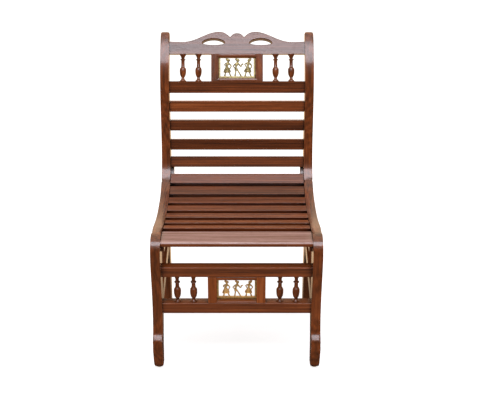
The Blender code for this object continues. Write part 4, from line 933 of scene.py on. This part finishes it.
places = []
on_cleats = [place for name, place in SLATS.items() if name.startswith("seat")]
for slat_place in on_cleats + [FRONT_SLAT]:
    y, z, tilt = slat_place[0], slat_place[1], math.radians(slat_place[2])
    stack = SEAT_STACK - (FRONT_SUNK if slat_place == FRONT_SLAT else 0.0)
    down = Vector((0.0, math.cos(tilt), math.sin(tilt)))
    spot = Vector((0.0, y, z)) + down * stack
    places += [((side * SLAT_SCREW_X, spot.y, spot.z),
                (tilt - math.pi / 2, 0.0, SLOT_TURN * side)) for side in (-1, 1)]
screws = turned_parts("slat_screws", screw_profile(SLAT_SCREW_LENGTH), places, STEEL,
                      SCREW_SIDES, SCREW_SLOT)
fit(screws, "steel")
places = [((side * CLEAT_FACE, y, z), (0.0, math.radians(-90 * side), 0.0))
          for side in (-1, 1) for y, z in CLEAT_SCREWS]
screws = turned_parts("cleat_screws", screw_profile(CLEAT_SCREW_LENGTH), places, STEEL,
                      SCREW_SIDES, SCREW_SLOT)
fit(screws, "steel", *[n for n in sorted(nodes) if n.startswith("cleat_screw")])

# %% Glides
GLIDE_HEIGHT, GLIDE_RADIUS, GLIDE_EDGE, GLIDE_SIDES = 0.0077, 0.011, 0.0006, 48
GLIDE_SECTION = ((0.0, 0.0086), (0.0004, 0.0092), (0.0020, 0.0108), (0.0028, GLIDE_RADIUS),
                 (GLIDE_HEIGHT - GLIDE_EDGE, GLIDE_RADIUS),
                 (GLIDE_HEIGHT, GLIDE_RADIUS - GLIDE_EDGE))
glide_nodes = sorted(n for n in nodes if n.startswith("foot_glide"))
places = []
for name in glide_nodes:
    low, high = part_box(name)
    places.append((((low.x + high.x) / 2, (low.y + high.y) / 2, low.z), (0.0, 0.0, 0.0)))
glides = turned_parts("foot_glides", GLIDE_SECTION, places, NYLON, GLIDE_SIDES)
fit(glides, "nylon", *glide_nodes)

# %% [markdown]
# ## The brass pictures
# Lost-wax figures are built up from wax threads: rods for limbs, and finer threads wound
# round them for bangles, anklets, belts and skirts. The lesson does the same. A figure is a
# list of rods, each a line of points with a radius at each. One tree sweeps the rods, and a
# second one winds a thread round some of them. The rods and the plate are then fused with a
# Remesh modifier, as wax melts together, and the threads are laid on top. The figures are
# plain folk dancers with small, calm, simple faces.

# %% Trees for rods and for wound threads
TURN_STEPS, WIRE_SIDES = 12, 6

rod_tree, given = new_tree("wax_rods", ("Sides", "Int"), ("Material", "Material"))
spine = add(rod_tree, "GeometryNodeMeshToCurve", {"Mesh": given["Geometry"]}).outputs[0]
ring = add(rod_tree, "GeometryNodeCurvePrimitiveCircle", {"Resolution": given["Sides"],
                                                          "Radius": 1.0}).outputs["Curve"]
rods = add(rod_tree, "GeometryNodeCurveToMesh",
           {"Curve": spine, "Profile Curve": ring, "Scale": read(rod_tree, "radius", "FLOAT"),
            "Fill Caps": True}).outputs[0]
finish_tree(rod_tree, rods, given)

thread_tree, given = new_tree("wound_thread", ("Pitch", "Float"), ("Wire Radius", "Float"),
                              ("Material", "Material"))
spine = add(thread_tree, "GeometryNodeMeshToCurve", {"Mesh": given["Geometry"]}).outputs[0]
step = add(thread_tree, "ShaderNodeMath", {0: given["Pitch"], 1: 1 / TURN_STEPS},
           operation="MULTIPLY").outputs[0]
fine = add(thread_tree, "GeometryNodeResampleCurve", {"Curve": spine, "Length": step},
           mode="LENGTH").outputs[0]
along = add(thread_tree, "GeometryNodeSplineParameter").outputs["Length"]
turns = add(thread_tree, "ShaderNodeMath", {0: along, 1: given["Pitch"]},
            operation="DIVIDE").outputs[0]
angle = add(thread_tree, "ShaderNodeMath", {0: turns, 1: math.tau},
            operation="MULTIPLY").outputs[0]
spin = add(thread_tree, "FunctionNodeAxisAngleToRotation",
           {"Axis": add(thread_tree, "GeometryNodeInputTangent").outputs[0],
            "Angle": angle}).outputs[0]
outwards = add(thread_tree, "FunctionNodeRotateVector",
               {"Vector": add(thread_tree, "GeometryNodeInputNormal").outputs[0],
                "Rotation": spin}).outputs[0]
offset = add(thread_tree, "ShaderNodeVectorMath",
             {0: outwards, "Scale": read(thread_tree, "radius", "FLOAT")},
             operation="SCALE").outputs[0]
helix = add(thread_tree, "GeometryNodeSetPosition", {"Geometry": fine, "Offset": offset})
wire = add(thread_tree, "GeometryNodeCurvePrimitiveCircle",
           {"Resolution": WIRE_SIDES, "Radius": given["Wire Radius"]}).outputs["Curve"]
thread = add(thread_tree, "GeometryNodeCurveToMesh",
             {"Curve": helix.outputs[0], "Profile Curve": wire, "Fill Caps": True})
finish_tree(thread_tree, thread.outputs[0], given)

# %% The dancers, in units of a 58-unit height
HEIGHT_UNITS = 58
DANCERS = (
    {"head": (2, 51), "bun": (-2, 54), "neck": (1, 45), "chest": (0, 40), "waist": (-2, 30),
     "hem": (-1, 13), "elbow_a": (-9, 37), "hand_a": (-4, 32), "elbow_b": (10, 33),
     "hand_b": (5, 23), "knee_a": (-6, 10), "foot_a": (-8, 0), "knee_b": (5, 10),
     "foot_b": (9, 0)},
    {"head": (3, 51), "bun": (-1, 54), "neck": (2, 45), "chest": (0, 39), "waist": (-3, 27),
     "hem": None, "elbow_a": (-10, 33), "hand_a": (-5, 26), "elbow_b": (11, 30),
     "hand_b": (14, 38), "knee_a": (-3, 13), "foot_a": (-5, 0), "knee_b": (5, 15),
     "foot_b": (12, 0)},
    {"head": (3, 51), "bun": (6, 54), "neck": (2, 45), "chest": (0, 40), "waist": (0, 30),
     "hem": (-1, 14), "elbow_a": (-9, 39), "hand_a": (-5, 31), "elbow_b": (11, 33),
     "hand_b": (6, 24), "knee_a": (-6, 10), "foot_a": (-8, 0), "knee_b": (5, 10),
     "foot_b": (8, 0)},
)
DANCER_PLACES = (-0.0345, -0.001, 0.040)
BALL = ((-1.0, 0.15), (-0.85, 0.53), (-0.5, 0.87), (0.0, 1.0), (0.5, 0.87), (0.85, 0.53),
        (1.0, 0.15))


def between(a, b, *stations):
    """Rod stations between two joints, from (share of the way, radius) pairs."""
    return [(a[0] + (b[0] - a[0]) * s, 0.0, a[1] + (b[1] - a[1]) * s, r) for s, r in stations]


def ball(centre, radius, forward=0.0):
    x, z = centre
    return [(x, -forward, z + h * radius, r * radius) for h, r in BALL]


def dancer(joints):
    """Solid rods and wound rods of one dancer."""
    j = joints
    head = j["head"]
    solid = [
        between(j["chest"], j["waist"], (-0.35, 2.4), (-0.1, 3.7), (0.2, 3.9), (0.6, 2.9),
                (0.9, 2.5), (1.15, 3.2)),
        between(head, j["chest"], (0.1, 1.9), (0.5, 1.8), (0.95, 2.4)),
        ball(head, 5.0), ball(j["bun"], 3.9),
        ball((head[0] + 1.2, head[1] - 0.5), 1.0, 4.7),
        ball((head[0] - 0.8, head[1] + 1.0), 0.7, 4.5),
        ball((head[0] + 3.0, head[1] + 1.0), 0.7, 4.3),
    ]
    wound = []
    for side in "ab":
        elbow, hand = j[f"elbow_{side}"], j[f"hand_{side}"]
        knee, foot = j[f"knee_{side}"], j[f"foot_{side}"]
        solid += [
            between(j["neck"], elbow, (0.0, 1.7), (0.25, 2.2), (0.7, 1.8), (1.05, 1.6)),
            between(elbow, hand, (-0.05, 1.6), (0.35, 1.7), (0.8, 1.2), (1.0, 1.6), (1.2, 1.2)),
            between(j["waist"], knee, (0.0, 2.6), (0.3, 2.8), (0.75, 2.1), (1.05, 2.0)),
            between(knee, foot, (-0.05, 1.9), (0.3, 2.3), (0.8, 1.5), (1.0, 1.7)),
            between(foot, (foot[0] + 3.4, foot[1] + 0.4), (-0.2, 1.2), (0.3, 1.6), (0.9, 1.2),
                    (1.1, 0.5)),
        ]
        wound += [
            between(elbow, hand, (0.55, 1.5), (0.92, 1.5)),
            between(j["neck"], elbow, (0.45, 2.2), (0.75, 1.9)),
            between(knee, foot, (0.62, 1.9), (0.95, 1.8)),
        ]
    if j["hem"]:
        solid.append(between(j["waist"], j["hem"], (-0.1, 2.9), (0.10, 4.0), (0.32, 6.6),
                             (0.36, 6.0), (0.60, 8.6), (0.64, 8.0), (0.92, 10.4),
                             (1.0, 10.6), (1.04, 7.5)))
        wound.append(between(j["waist"], j["hem"], (-0.05, 3.1), (0.12, 4.4), (0.55, 8.2),
                             (1.0, 10.6)))
    else:
        wound.append(between(j["waist"], j["knee_b"], (-0.1, 3.0), (0.5, 2.9)))
        wound.append(between(j["waist"], j["knee_a"], (0.1, 2.9), (0.6, 2.7)))
        hand = j["hand_b"]
        solid.append(between(hand, (hand[0] + 3.5, hand[1] + 2.0), (-0.2, 1.2), (0.2, 2.6),
                             (0.8, 2.6), (1.1, 1.4)))
    wound.append(between(j["neck"], j["chest"], (-0.25, 2.1), (0.35, 2.6)))
    wound.append(between(head, j["bun"], (0.45, 3.9), (0.75, 3.6)))
    return solid, wound


# %% Build and fuse the castings
PLATE_THICKNESS, PLATE_BAR, PLATE_GROUND, PLATE_LAP = 0.003, 0.006, 0.0075, 0.0027
FLATNESS = 0.75
FULLNESS = 1.18
WAX_GRAIN, WAX_SOFTENING = 0.00054, (0.5, 2)
THREAD_PITCH, THREAD_RADIUS = 1.15, 0.52
ROD_SIDES, HEAD_ROOM = 12, 0.001


def rod_mesh(name, rods):
    """A mesh of loose lines with a radius at every point."""
    mesh = bpy.data.meshes.new(name)
    points, edges = [], []
    for rod in rods:
        edges += [(len(points) + i, len(points) + i + 1) for i in range(len(rod) - 1)]
        points += rod
    mesh.from_pydata([p[:3] for p in points], edges, [])
    mesh.attributes.new("radius", "FLOAT", "POINT").data.foreach_set(
        "value", [p[3] for p in points])
    return new_object(name, mesh)


def casting(word):
    panel = PANELS[word]
    width, low, high = panel["window"]
    height = high - low
    unit = (height - PLATE_GROUND - HEAD_ROOM) / HEIGHT_UNITS * panel["dancers"]
    solid, wound = [], []
    for joints, across in zip(DANCERS, DANCER_PLACES):
        rods, threads = dancer(joints)
        for source, target in ((rods, solid), (threads, wound)):
            target += [[(across / unit / FULLNESS + x, y, z, r) for x, y, z, r in rod]
                       for rod in source]
    body = grown(rod_mesh(f"{word}_dancers", solid), rod_tree, Sides=ROD_SIDES,
                 Material=BRASS[word])
    threads = grown(rod_mesh(f"{word}_threads", wound), thread_tree, Pitch=THREAD_PITCH,
                    Wire_Radius=THREAD_RADIUS, Material=BRASS[word])
    stand = Matrix.Translation((0, 0, PLATE_GROUND)) @ Matrix.Diagonal(
        (unit * FULLNESS, unit * FLATNESS, unit, 1.0))
    for obj in (body, threads):
        obj.data.transform(stand)
    bm = bmesh.new()
    bm.from_mesh(body.data)
    across, top = width / 2 + PLATE_LAP, height + PLATE_LAP
    bars = (((-across, -PLATE_LAP), (-width / 2 + PLATE_BAR, top)),
            ((width / 2 - PLATE_BAR, -PLATE_LAP), (across, top)),
            ((-across, -PLATE_LAP), (across, PLATE_GROUND)), ((-across, height), (across, top)))
    for (x0, z0), (x1, z1) in bars:
        centre = Matrix.Translation(((x0 + x1) / 2, 0, (z0 + z1) / 2))
        bmesh.ops.create_cube(bm, size=1.0, matrix=centre @ Matrix.Diagonal(
            (x1 - x0, PLATE_THICKNESS, z1 - z0, 1.0)))
    bm.to_mesh(body.data)
    bm.free()
    fuse = body.modifiers.new("melted together", "REMESH")
    fuse.mode, fuse.voxel_size = "VOXEL", WAX_GRAIN
    soften = body.modifiers.new("softened", "SMOOTH")
    soften.factor, soften.iterations = WAX_SOFTENING
    baked(body)
    bm = bmesh.new()
    bm.from_mesh(body.data)
    bm.from_mesh(threads.data)
    edging = bpy.data.meshes.new("edging")
    bm.to_mesh(edging)
    bm.free()
    bpy.data.objects.remove(threads)
    body.data = edging
    edging.transform(panel_place(word) @ Matrix.Translation((0, 0, low)))
    edging.shade_smooth()
    edging.materials.clear()
    edging.materials.append(BRASS[word])
    body.name = f"{word}_brass_casting"
    print(body.name, "triangles:", sum(len(p.vertices) - 2 for p in edging.polygons))
    fit(body, "brass", f"{word}_brass_panel")


for word in PANELS:
    casting(word)
